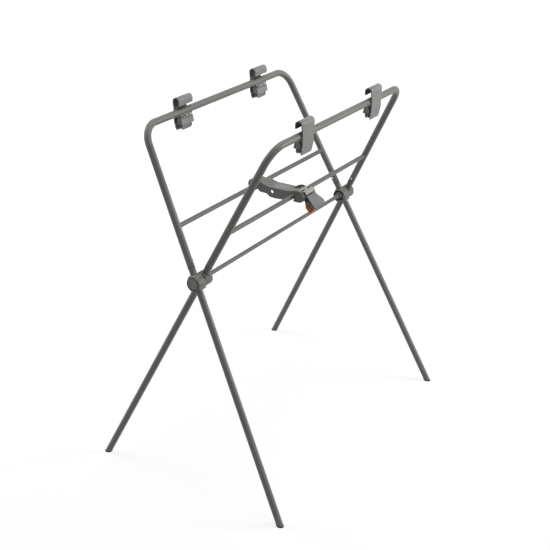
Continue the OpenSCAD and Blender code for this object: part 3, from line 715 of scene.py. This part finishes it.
def closed_tube(bm: bmesh.types.BMesh, path: Sequence[Vector], radius: Callable[[float], float],
                sides: int) -> None:
    """Adds a closed tube round a closed path.

    Args:
        bm: The mesh to add to.
        path: Points of the path, in order.
        radius: The tube's radius at a share of the way round, from 0 to 1.
        sides: Number of sides of the tube.
    """
    count = len(path)
    centre = sum(path, Vector()) / count
    rings = []
    for i, point in enumerate(path):
        along = (path[(i + 1) % count] - path[i - 1]).normalized()
        out = point - centre
        out = (out - along * out.dot(along)).normalized()
        across = along.cross(out)
        r = radius(i / count)
        rings.append([bm.verts.new(point + r * (math.cos(a) * out + math.sin(a) * across))
                      for a in (2 * math.pi * k / sides for k in range(sides))])
    for i, ring in enumerate(rings):
        following = rings[(i + 1) % count]
        for k in range(sides):
            bm.faces.new((ring[k], ring[(k + 1) % sides],
                          following[(k + 1) % sides], following[k]))


def oblong(first: Pair, second: Pair) -> Outline:
    """Corners of an oblong, from the low and high values of its two coordinates."""
    (a, b), (c, d) = first, second
    return ((a, c), (b, c), (b, d), (a, d))


def shift_y(distance: float) -> Matrix:
    """A shift along Y."""
    return Matrix.Translation((0.0, distance, 0.0))


def extruded(bm: bmesh.types.BMesh, outline: Outline, half: float, matrix: Matrix) -> None:
    """Adds a closed prism whose outline lies in XZ and which runs along Y.

    Args:
        bm: The mesh to add to.
        outline: Points (x, z) of the outline, in order.
        half: Half of its length along Y.
        matrix: Where it goes.
    """
    ends = [[bm.verts.new(matrix @ Vector((x, side * half, z))) for x, z in outline]
            for side in (-1, 1)]
    bm.faces.new(ends[0])
    bm.faces.new(ends[1][::-1])
    count = len(outline)
    for i in range(count):
        j = (i + 1) % count
        bm.faces.new((ends[0][j], ends[0][i], ends[1][i], ends[1][j]))


def lathed(bm: bmesh.types.BMesh, profile: Outline, matrix: Matrix, sides: int = 72) -> None:
    """Adds a closed ring turned round the Y axis.

    Args:
        bm: The mesh to add to.
        profile: Closed outline of (radius, y), none of it on the axis.
        matrix: Where it goes.
        sides: Number of steps round the axis.
    """
    rings = []
    for k in range(sides):
        a = 2 * math.pi * k / sides
        rings.append([bm.verts.new(matrix @ Vector((r * math.cos(a), y, r * math.sin(a))))
                      for r, y in profile])
    count = len(profile)
    for k, ring in enumerate(rings):
        following = rings[(k + 1) % sides]
        for i in range(count):
            j = (i + 1) % count
            bm.faces.new((ring[i], ring[j], following[j], following[i]))


def ball(bm: bmesh.types.BMesh, radius: float, steps: int, matrix: Matrix) -> None:
    """Adds a ball, corner by corner, so that its corners have the same order in each run.

    Args:
        bm: The mesh to add to.
        radius: Its radius.
        steps: Number of steps round it, twice the number from pole to pole.
        matrix: Where it goes.
    """
    rows = steps // 2
    rings = []
    for i in range(1, rows):
        height = radius * math.cos(math.pi * i / rows)
        r = radius * math.sin(math.pi * i / rows)
        rings.append([bm.verts.new(matrix @ Vector((r * math.cos(a), r * math.sin(a), height)))
                      for a in (2 * math.pi * k / steps for k in range(steps))])
    top, bottom = (bm.verts.new(matrix @ Vector((0.0, 0.0, z))) for z in (radius, -radius))
    for k in range(steps):
        j = (k + 1) % steps
        bm.faces.new((top, rings[0][k], rings[0][j]))
        bm.faces.new((bottom, rings[-1][j], rings[-1][k]))
        for upper, lower in zip(rings, rings[1:]):
            bm.faces.new((upper[k], lower[k], lower[j], upper[j]))


def raised_ring(bm: bmesh.types.BMesh, inner: float, outer: float, face: float, rise: float,
                matrix: Matrix) -> None:
    """Adds a low ring with bevelled edges that stands on a face square to the Y axis.

    Args:
        bm: The mesh to add to.
        inner: Inner radius.
        outer: Outer radius.
        face: Place of the face along Y.
        rise: How far the ring rises along Y, with its sign.
        matrix: Where it goes.
    """
    edge = min(abs(rise), (outer - inner) / 4)
    top, sunk = face + rise, face - math.copysign(SUNK, rise)
    below = top - math.copysign(edge / 2, rise)
    lathed(bm, [(inner, sunk), (outer, sunk), (outer, below), (outer - edge, top),
                (inner + edge, top), (inner, below)], matrix)


# ---------- sub-assemblies ----------


@dataclass
class Finishes:
    """The stand's materials, one for each material slot of the record.

    Args:
        made: The materials by slot, which build() fills in.
    """

    made: dict[str, bpy.types.Material] = field(default_factory=dict)

    def build(self) -> None:
        """Makes each slot's material."""
        recipes = (
            PowderCoat("tube_coating", (0.168, 0.161, 0.151)),
            PowderCoat("bar_coating", (0.120, 0.115, 0.108)),
            SoftTouch("foot_rubber", (0.016, 0.016, 0.016), 0.8, sheen=0.0),
            MouldedPlastic("hub_plastic", (0.150, 0.146, 0.140), 0.5),
            MouldedPlastic("cap_plastic", (0.255, 0.252, 0.244), 0.5),
            MouldedPlastic("clip_plastic", (0.225, 0.222, 0.214), 0.45),
            MouldedPlastic("strut_plastic", (0.150, 0.147, 0.143), 0.5),
            MouldedPlastic("panel_plastic", (0.195, 0.194, 0.190), 0.45),
            MouldedPlastic("cover_plastic", (0.322, 0.324, 0.298), 0.42),
            SoftTouch("grip_soft", (0.205, 0.213, 0.212), 0.7),
            # The trigger's strong edge factor paints a highlight along its edges.
            MouldedPlastic("trigger_plastic", (0.450, 0.102, 0.012), 0.42, edge=0.9),
            MouldedPlastic("bush_plastic", (0.030, 0.030, 0.030), 0.45),
            PlatedSteel("plated_steel", (0.62, 0.62, 0.61)),
        )
        self.made = {recipe.name: recipe.build() for recipe in recipes}
        LOG.info("made %d finishes", len(self.made))

    def dress(self, obj: bpy.types.Object, name: str) -> None:
        """Gives an object a finish on all its slots.

        Args:
            obj: The object.
            name: Name of the finish.
        """
        if not obj.material_slots:
            obj.data.materials.append(self.made[name])
        for slot in obj.material_slots:
            slot.material = self.made[name]


def place_piece(bm: bmesh.types.BMesh, name: str, slot: str, body: str, finishes: Finishes,
                angle: float = 35.0) -> None:
    """Makes a small piece from its mesh, dresses it and lets it ride on a body.

    Args:
        bm: The mesh, which is freed.
        name: Name of the piece.
        slot: The record's material slot that it takes its finish from.
        body: The body that carries it.
        finishes: The stand's materials.
        angle: Angle between faces, in degrees, above which an edge stays sharp.
    """
    obj = mesh_object(name, bm)
    obj.data.set_sharp_from_angle(angle=math.radians(angle))
    finishes.dress(obj, slot)
    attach(obj, body)
    LOG.info("made %s", name)


@dataclass
class Construction:
    """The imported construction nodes: each gets its finish, and the moulded ones rounded edges.

    Args:
        edge_radius: Radius of a node's rounded edges, by the start of its name.
        sharp_angle: Angle between faces, in degrees, above which an edge is rounded.
        merge: Distance within which a mesh's split corners are joined before the rounding.
        segments: Number of steps of a rounded edge.
    """

    edge_radius: dict[str, float] = field(default_factory=lambda: {
        "hub_half": 0.0007, "hub_cap": 0.0004, "clip_hook": 0.0006, "clip_jaw": 0.0004,
        "strut_beam": 0.0006, "strut_panel": 0.0003, "latch_cover": 0.0004, "grip_pad": 0.0007,
        "claw": 0.0006, "trigger": 0.0006, "foot": 0.0004, "strut_bush": 0.0004,
    })
    sharp_angle: float = 28.0
    merge: float = 1e-6
    segments: int = 2

    def build(self, finishes: Finishes) -> None:
        """Dresses every node.

        Args:
            finishes: The stand's materials.
        """
        for part in frame["record"]["subparts"]:
            obj = frame["nodes"][part["node"]]
            finishes.dress(obj, part["material_slot"])
            self._round(obj)
            LOG.info("dressed %s in %s", part["node"], part["material_slot"])

    def _round(self, obj: bpy.types.Object) -> None:
        """Rounds a node's edges with modifiers, which leave its own vertices alone.

        Args:
            obj: The node's object.
        """
        radius = next((r for start, r in self.edge_radius.items() if obj.name.startswith(start)), 0.0)
        if not radius:
            return
        weld = obj.modifiers.new("weld", "WELD")
        weld.merge_threshold = self.merge
        bevel = obj.modifiers.new("bevel", "BEVEL")
        bevel.width = radius
        bevel.segments = self.segments
        bevel.limit_method = "ANGLE"
        bevel.angle_limit = math.radians(self.sharp_angle)
        bevel.use_clamp_overlap = True
        bevel.harden_normals = True


@dataclass
class Welds:
    """Weld beads where the crossbars meet the arms.

    Args:
        stance: Layout of the frames.
        bead_radius: Radius of a bead.
        ripple: How much the bead swells and shrinks along its way.
        ripples: Number of swells round one joint.
        points: Number of points round one joint.
        sides: Number of sides of the bead's section.
        sharp_angle: Angle between faces, in degrees, above which an edge stays sharp.
    """

    stance: Stance
    bead_radius: float = 0.0012
    ripple: float = 0.14
    ripples: int = 26
    points: int = 156
    sides: int = 8
    sharp_angle: float = 80.0

    def build(self, finishes: Finishes) -> None:
        """Makes the beads of both frames.

        Args:
            finishes: The stand's materials.
        """
        for which in Frame:
            bm = bmesh.new()
            for end in (-1, 1):
                closed_tube(bm, self._seam(which, end), self._swell, self.sides)
            place_piece(bm, f"crossbar_welds_{which.letter}", "tube_coating", which.value,
                        finishes, self.sharp_angle)

    def _swell(self, share: float) -> float:
        """The bead's radius at a share of the way round."""
        return self.bead_radius * (1 + self.ripple * math.sin(2 * math.pi * self.ripples * share))

    def _seam(self, which: Frame, end: int) -> list[Vector]:
        """Points where a crossbar's surface meets an arm's surface.

        Args:
            which: The frame.
            end: -1 or 1, the frame's own end.

        Returns:
            The points, in the row frame.
        """
        s = self.stance
        matrix = s.frame_matrix(which)
        splay = math.radians(s.splay)
        up = Vector((0.0, -end * math.sin(splay), math.cos(splay)))
        foot = Vector((0.0, s.tube_y(end, s.bar_rise), s.bar_rise))
        points = []
        for i in range(self.points):
            angle = 2 * math.pi * i / self.points
            start = Vector((s.bar_radius * math.cos(angle), 0.0,
                            s.bar_rise + s.bar_radius * math.sin(angle)))
            # the bar's line start + t * Y meets the arm's cylinder
            flat = Vector((0.0, 1.0, 0.0)) - up * up.y
            gap = (start - foot) - up * (start - foot).dot(up)
            a, b = flat.dot(flat), 2 * flat.dot(gap)
            c = gap.dot(gap) - s.frame_radius ** 2
            t = (-b - end * math.sqrt(b * b - 4 * a * c)) / (2 * a)
            points.append(matrix @ (start + Vector((0.0, t, 0.0))))
        return points


@dataclass
class RimLiners:
    """Dark strips that line the insides of the rim hooks, from the lip over the crown and down the
    plate.

    Args:
        stance: Layout of the frames.
        station: Distance of a hook from the middle of its rail.
        half_length: Half of a liner's length along the rail.
        wall: Thickness of the hook's wall.
        crown: Height of the hook's crown above the rail's centre.
        width: Outer width of the hook.
        plate: Distance of the plate's outer face from the rail's centre.
        lip: Height of the liner's edge at the lip above the rail's centre.
        foot: Height of its edge on the plate.
        thickness: Thickness of the liner.
        steps: Number of steps round the crown.
    """

    stance: Stance
    station: float = 0.172
    half_length: float = 0.0252
    wall: float = 0.0028
    crown: float = 0.0385
    width: float = 0.0205
    plate: float = 0.0125
    lip: float = 0.0195
    foot: float = 0.0105
    thickness: float = 0.0007
    steps: int = 20

    def build(self, finishes: Finishes) -> None:
        """Makes the four liners.

        Args:
            finishes: The stand's materials.
        """
        for which in Frame:
            for end in End:
                bm = bmesh.new()
                extruded(bm, self._outline(), self.half_length, self.place(which, end))
                place_piece(bm, f"rim_liner_{which.letter}_{end.word}", "bush_plastic",
                            which.value, finishes)

    def place(self, which: Frame, end: End) -> Matrix:
        """Matrix from a hook's section (X outwards, Z up) to the row frame.

        Args:
            which: The frame.
            end: The end of its rail.

        Returns:
            The matrix.
        """
        rail = self.stance.rail_centre(which)
        turn = Matrix.Rotation(0.0 if which is Frame.B else math.pi, 4, "Z")
        return Matrix.Translation((rail.x, end.value * self.station, rail.z)) @ turn

    def _outline(self) -> Outline:
        """The liner's section.

        Returns:
            Its outer side along the wall, from the lip to the plate, and its inner side back.
        """
        radius = self.width / 2
        centre = (self.plate - radius, self.crown - radius)
        outer, inner = [], []
        for inset, side in ((self.wall - SUNK, outer), (self.wall + self.thickness, inner)):
            r = radius - inset
            side.append((centre[0] - r, self.lip))
            for i in range(self.steps + 1):
                a = math.pi * (1 - i / self.steps)
                side.append((centre[0] + r * math.cos(a), centre[1] + r * math.sin(a)))
            side.append((centre[0] + r, self.foot))
        return outer + inner[::-1]


@dataclass
class JawTrim:
    """Ribs and top lips of the jaws that clamp the rim hooks to the rails, and dark strips that paint
    the shadow under each lip and the shade in the slot at each jaw's tail.

    Outlines are in the hook's section: X outwards and Z up, from the rail's centre.

    Args:
        hooks: The rim hooks' liners, which give the places of the clips.
        rib: Outline of the rib that half closes an end of the jaw.
        rib_places: Places of the ribs along the rail, from the jaw's middle.
        rib_half: Half of a rib's thickness.
        lip: Outline of the lip along the jaw's top edge.
        line: Outline of the dark strip below the lip, a painted shadow of the lip.
        lip_half: Half of the length of the lip and the line.
        slot: Outline of the dark strip in the slot at the jaw's tail, painted shade.
        slot_place: Place of its middle along the rail.
        slot_half: Half of its length.
    """

    hooks: RimLiners
    rib: Outline = (
        (-0.0080, -0.0130), (-0.0113, -0.0288), (0.0040, -0.0288), (0.0050, -0.0200),
        (0.0020, -0.0135))
    rib_places: Pair = (-0.0225, 0.0225)
    rib_half: float = 0.0008
    lip: Outline = (
        (-0.0090, -0.0114), (-0.0106, -0.0116), (-0.0112, -0.0138), (-0.0098, -0.0140))
    line: Outline = (
        (-0.0098, -0.0139), (-0.0107, -0.0139), (-0.0111, -0.0156), (-0.0102, -0.0156))
    lip_half: float = 0.0210
    slot: Outline = (
        (-0.0085, -0.0325), (-0.0094, -0.0325), (-0.0094, -0.0415), (-0.0085, -0.0415))
    slot_place: float = -0.0182
    slot_half: float = 0.0021

    def build(self, finishes: Finishes) -> None:
        """Makes the trim of the four jaws.

        Args:
            finishes: The stand's materials.
        """
        for which in Frame:
            for end in End:
                place = self.hooks.place(which, end)
                ribs, lines = bmesh.new(), bmesh.new()
                for y in self.rib_places:
                    extruded(ribs, self.rib, self.rib_half, place @ shift_y(y))
                extruded(ribs, self.lip, self.lip_half, place)
                # Dark strips: a painted shadow under the lip and painted shade in the tail slot.
                extruded(lines, self.line, self.lip_half, place)
                extruded(lines, self.slot, self.slot_half, place @ shift_y(self.slot_place))
                for name, slot, bm in (("jaw_ribs", "clip_plastic", ribs),
                                       ("jaw_shadow_strips", "bush_plastic", lines)):
                    place_piece(bm, f"{name}_{which.letter}_{end.word}", slot, which.value,
                                finishes)


@dataclass
class PivotTrim:
    """Fine rings, dark rings that paint shade in the gap round each cap and in the inner groove, and
    a small grub screw on each of the two pivots.

    Args:
        stance: Layout of the frames.
        cap_depth: Distance of a cap's face from the pivot's parting plane.
        cap_radii: Middle radii of the cap's raised rings.
        ring_width: Width of such a ring at its foot.
        ring_height: Height of such a ring.
        seal: Inner radius, outer radius and height of the dark ring round a cap, painted shade in the
            gap round it.
        groove_depth: Distance of the inner groove's floor from the parting plane.
        groove: Inner radius, outer radius and thickness of the dark ring on that floor, painted shade
            in the groove.
        boss_depth: Distance of the axle's boss from the parting plane.
        grub: Place of the boss's grub screw along X and Z, from the axle.
        grub_radius: Radius of its domed head.
        grub_steps: Number of steps round that head.
    """

    stance: Stance
    cap_depth: float = 0.028
    cap_radii: tuple[float, ...] = (0.0128, 0.0088)
    ring_width: float = 0.0012
    ring_height: float = 0.0005
    seal: Triple = (0.0150, 0.0164, 0.0003)
    groove_depth: float = 0.027
    groove: Triple = (0.0106, 0.0147, 0.0005)
    boss_depth: float = 0.0346
    grub: Pair = (0.0076, 0.0024)
    grub_radius: float = 0.0013
    grub_steps: int = 24

    def build(self, finishes: Finishes) -> None:
        """Makes the trim of both pivots.

        Args:
            finishes: The stand's materials.
        """
        for which in Frame:
            matrix = self.stance.frame_matrix(which)
            rings, shade_rings = bmesh.new(), bmesh.new()
            face = -(self.stance.hub_span / 2 + self.cap_depth)
            for radius in self.cap_radii:
                raised_ring(rings, radius - self.ring_width / 2, radius + self.ring_width / 2,
                            face, -self.ring_height, matrix)
            # Dark ring round the cap: painted shade in the gap round it.
            raised_ring(shade_rings, self.seal[0], self.seal[1], face, -self.seal[2], matrix)
            floor = self.stance.hub_span / 2 - self.groove_depth
            # Dark ring on the groove's floor: painted shade in the groove.
            raised_ring(shade_rings, self.groove[0], self.groove[1], floor, -self.groove[2], matrix)
            place_piece(rings, f"cap_rings_{which.letter}", "cap_plastic", which.value, finishes)
            place_piece(shade_rings, f"pivot_seals_{which.letter}", "foot_rubber", which.value, finishes)
            grub = bmesh.new()
            ball(grub, self.grub_radius, self.grub_steps, self._grub_place(which))
            place_piece(grub, f"grub_screw_{which.letter}", "plated_steel", which.value, finishes)

    def _grub_place(self, which: Frame) -> Matrix:
        """Matrix of the grub screw in the boss at a frame's inner pivot half.

        Args:
            which: The frame.

        Returns:
            The matrix.
        """
        turn = Matrix.Rotation(0.0 if which is Frame.A else math.pi, 4, "Z")
        x, z = self.grub
        y = self.stance.hub_span / 2 - self.boss_depth
        return turn @ Matrix.Translation((x, y, self.stance.hub_height + z))


@dataclass
class ArmTrim:
    """Seam rings where the arms sit on the legs, and dark rings round the snap buttons that paint
    the shade in the gap round each button.

    Args:
        stance: Layout of the frames.
        seam: Height of the seam above the axle, in the frame's plane.
        seal: Inner radius, outer radius and length of the seam's dark seal.
        shoulder: Outer radius and length of the leg's shoulder under the seal.
        rounding: How far the shoulder's side curves in towards its two edges.
        flat: Height of the narrow step between an end of the curve and the edge.
        curve_steps: Number of steps of the curve.
        button_above: Distance of a snap button above the seam.
        collar: Inner radius and outer radius of a button's collar.
        button_shade_reach: Distances of the collar's foot and face from the arm's centre line.
        button_shade_sides: Number of steps round the collar.
    """

    stance: Stance
    seam: float = 0.038
    seal: Triple = (0.0084, 0.00905, 0.0013)
    shoulder: Pair = (0.0092, 0.0022)
    rounding: float = 0.0003
    flat: float = 0.0001
    curve_steps: int = 6
    button_above: float = 0.016
    # collar: Inner radius and outer radius of the dark ring round a button, painted shade in the gap
    # round it. button_shade_reach: Distances of the dark ring's foot and face from the arm's centre
    # line. button_shade_sides: Number of steps round the dark ring.
    collar: Pair = (0.00345, 0.0046)
    button_shade_reach: Pair = (0.0076, 0.0092)
    button_shade_sides: int = 40

    def build(self, finishes: Finishes) -> None:
        """Makes the trim of all four arms.

        Args:
            finishes: The stand's materials.
        """
        upright = Matrix.Rotation(math.pi / 2, 4, "X")
        for which in Frame:
            dark, shoulders = bmesh.new(), bmesh.new()
            for end in (-1, 1):
                matrix = self.stance.arm_matrix(which, end, self.seam) @ upright
                inner, outer, length = self.seal
                lathed(dark, oblong((inner, outer), (-length, 0.0)), matrix)
                self._shoulder(shoulders, -length, matrix)
                # Dark ring round the snap button: painted shade in the gap round it.
                button = self.stance.arm_matrix(which, end, self.seam + self.button_above)
                foot, face = (-end * reach for reach in self.button_shade_reach)
                lathed(dark, oblong(self.collar, (foot, face)), button, self.button_shade_sides)
            place_piece(dark, f"arm_seals_{which.letter}", "foot_rubber", which.value, finishes)
            place_piece(shoulders, f"leg_shoulders_{which.letter}", "tube_coating", which.value,
                        finishes)

    def _shoulder(self, bm: bmesh.types.BMesh, top: float, matrix: Matrix) -> None:
        """Adds the rounded shoulder of one leg, which ends under the seal.

        Args:
            bm: The mesh to add to.
            top: Place of its upper edge along the leg, from the seam.
            matrix: Where it goes.
        """
        radius, length = self.shoulder
        foot = self.seal[0]
        profile = [(foot, top - length)]
        for i in range(self.curve_steps + 1):
            a = -math.pi / 2 + math.pi * i / self.curve_steps
            profile.append((radius - self.rounding + self.rounding * math.cos(a),
                            top - length / 2 + (length / 2 - self.flat) * math.sin(a)))
        profile.append((foot, top))
        lathed(bm, profile, matrix)


@dataclass
class LatchTrim:
    """Dark inserts that paint shade in the latch cover's slots, a dark strip that paints shade above
    the pad, dark bands below it that paint shade, and light strips on them that paint the highlight
    of the trigger's top edge.

    Places are in the lock strut's own axes: X along it from crossbar A, Y across, Z up.

    Args:
        stance: Layout of the frames.
        slot_start: Lowest X and Z of a slot.
        slot_size: Width along X, length along Y and height of a dark insert, painted shade in its
            slot.
        slot_places: Middle of each slot along Y.
        handle: X and Z where the pad's plane meets the head.
        slope: Slope of the handle, in degrees.
        root_shade_span: Start and end of the dark strip down the handle, painted shade near where the
            pad meets the head.
        root_shade_depth: Its foot and its face, above the handle's plane.
        root_shade_ends: Its two ends across the handle.
        skirt: Outline of the dark band under the pad that paints shade, as (down the handle, above
            its plane).
        shade_band_y: Nearest and furthest faces of a dark band from the strut's middle.
        rail: The outline of the light strip on a dark band, which paints the highlight of the
            trigger's top edge, in the same way.
        highlight_strip_y: Nearest and furthest faces of a light strip from the strut's middle.
    """

    stance: Stance
    slot_start: Pair = (0.1453, 0.0149)
    slot_size: Triple = (0.0050, 0.0145, 0.0023)
    slot_places: Pair = (-0.013, 0.013)
    handle: Pair = (0.16118, 0.0094)
    slope: float = 45.0
    root_shade_span: Pair = (0.0024, 0.0046)
    root_shade_depth: Pair = (-0.0004, 0.0003)
    root_shade_ends: Pair = (-0.0195, 0.0100)
    skirt: Outline = (
        (0.0005, -0.0042), (0.0425, -0.0042), (0.0425, -0.0098), (0.0380, -0.0128),
        (0.0180, -0.0150), (0.0060, -0.0168), (0.0005, -0.0150))
    shade_band_y: Pair = (0.0196, 0.0206)
    rail: Outline = (
        (0.0150, -0.0084), (0.0425, -0.0074), (0.0425, -0.0098), (0.0150, -0.0118))
    highlight_strip_y: Pair = (0.0200, 0.0212)

    def build(self, finishes: Finishes) -> None:
        """Makes the trim.

        Args:
            finishes: The stand's materials.
        """
        strut = self.stance.strut_matrix()
        x, z = self.slot_start
        width, length, height = self.slot_size
        # Dark inserts in the cover's slots: painted shade.
        dark = bmesh.new()
        for middle in self.slot_places:
            extruded(dark, oblong((x, x + width), (z, z + height)), length / 2,
                     strut @ shift_y(middle))
        place_piece(dark, "cover_slot_shade", "foot_rubber", "strut", finishes)
        slope = strut @ Matrix.Translation((self.handle[0], 0.0, self.handle[1]))
        slope = slope @ Matrix.Rotation(math.radians(self.slope), 4, "Y")
        # Dark strip near where the pad meets the head: painted shade.
        seal = bmesh.new()
        low, high = self.root_shade_ends
        extruded(seal, oblong(self.root_shade_span, self.root_shade_depth), (high - low) / 2,
                 slope @ shift_y((low + high) / 2))
        place_piece(seal, "pad_root_shade", "foot_rubber", "strut", finishes)
        # Dark bands under the pad: painted shade. Light strips on them: a painted highlight of the
        # trigger's top edge.
        for name, slot, outline, (near, far) in (
                ("handle_under_shade", "foot_rubber", self.skirt, self.shade_band_y),
                ("handle_rails", "cover_plastic", self.rail, self.highlight_strip_y)):
            pair = bmesh.new()
            for side in (-1, 1):
                extruded(pair, outline, (far - near) / 2, slope @ shift_y(side * (near + far) / 2))
            place_piece(pair, name, slot, "strut", finishes)


# ---------- stage ----------


@dataclass(frozen=True)
class Lamp:
    """A square soft lamp that shines at the stand's middle.

    Args:
        name: Name of the lamp.
        place: Where it hangs.
        size: Length of its side.
        power: Its power in watts.
        aim: The point that it shines at.
    """

    name: str
    place: Triple
    size: float
    power: float
    aim: Triple = (0.0, 0.0, 0.55)

    def build(self) -> None:
        """Makes the lamp."""
        data = bpy.data.lights.new(self.name, "AREA")
        data.size = self.size
        data.energy = self.power
        lamp = bpy.data.objects.new(self.name, data)
        lamp.location = self.place
        way = Vector(self.aim) - Vector(self.place)
        lamp.rotation_euler = way.to_track_quat("-Z", "Y").to_euler()
        bpy.context.scene.collection.objects.link(lamp)


@dataclass
class Stage:
    """Floor, world and lamps.

    Args:
        floor_radius: Radius of the round floor.
        floor_steps: Number of sides of the floor's edge.
        world_light: Strength of the world's light on the object.
        world_shown: Strength of the world's white where it is seen or mirrored.
        lamps: The lamps.
    """

    floor_radius: float = 14.0
    floor_steps: int = 96
    world_light: float = 0.22
    world_shown: float = 1.0
    lamps: tuple[Lamp, ...] = (
        Lamp("right_lamp", (2.64, 1.80, 1.45), 1.3, 61.0),
        Lamp("top_lamp", (0.3, 0.3, 3.7), 2.2, 50.0),
        Lamp("left_lamp", (-2.8, -0.6, 2.2), 1.6, 43.0))

    def build(self) -> None:
        """Makes the stage."""
        bm = bmesh.new()
        bmesh.ops.create_circle(bm, cap_ends=True, segments=self.floor_steps,
                                radius=self.floor_radius)
        floor = mesh_object("studio_floor", bm, smooth=False)
        floor.data.materials.append(StudioFloor().build())
        self._world()
        for lamp in self.lamps:
            lamp.build()
        LOG.info("set the stage")

    def _world(self) -> None:
        """White for the camera and for reflections, plain grey light for the rest."""
        world = bpy.data.worlds.new("studio")
        bpy.context.scene.world = world
        g = Graph(world)
        light, white = (g.feed(g.add("Background"), Color=WHITE, Strength=strength).outputs[0]
                        for strength in (self.world_light, self.world_shown))
        g.end(g.blend(g.seen(), light, white))


@dataclass
class PhotoCamera:
    """The camera, at the photograph's angle.

    Args:
        place: Where it stands.
        yaw: Turn to the left of +Y, in degrees.
        pitch: Tilt below level, in degrees.
        roll: Roll of the picture, in degrees.
        lens: Focal length in millimetres.
        sensor: Width of the sensor in millimetres.
        sight: Distance up to which it sees.
    """

    place: Triple = (1.4464, -2.3276, 1.7097)
    yaw: float = 32.03
    pitch: float = 24.87
    roll: float = 0.45
    lens: float = 72.74
    sensor: float = 36.0
    sight: float = 60.0

    def build(self) -> None:
        """Makes the camera and gives it to the scene."""
        yaw, pitch, roll = map(math.radians, (self.yaw, self.pitch, self.roll))
        forward = Vector((-math.sin(yaw) * math.cos(pitch), math.cos(yaw) * math.cos(pitch),
                          -math.sin(pitch)))
        right = Vector((math.cos(yaw), math.sin(yaw), 0.0))
        up = right.cross(forward)
        across = math.cos(roll) * right + math.sin(roll) * up
        upright = -math.sin(roll) * right + math.cos(roll) * up
        data = bpy.data.cameras.new("photo_camera")
        data.lens = self.lens
        data.sensor_width = self.sensor
        data.sensor_fit = "HORIZONTAL"
        data.clip_end = self.sight
        camera = bpy.data.objects.new("photo_camera", data)
        turn = Matrix((across, upright, -forward)).transposed().to_4x4()
        camera.matrix_world = Matrix.Translation(self.place) @ turn
        bpy.context.scene.collection.objects.link(camera)
        bpy.context.scene.camera = camera
        LOG.info("set the camera")


def main() -> None:
    """Builds the sub-assemblies in order."""
    logging.basicConfig(level=logging.INFO, format="%(name)s: %(message)s")
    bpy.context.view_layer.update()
    bpy.context.scene.view_settings.view_transform = "Standard"
    stance = Stance()
    finishes = Finishes()
    finishes.build()
    Construction().build(finishes)
    Welds(stance).build(finishes)
    liners = RimLiners(stance)
    liners.build(finishes)
    JawTrim(liners).build(finishes)
    PivotTrim(stance).build(finishes)
    ArmTrim(stance).build(finishes)
    LatchTrim(stance).build(finishes)
    Stage().build()
    PhotoCamera().build()


if __name__ == "__main__":
    main()
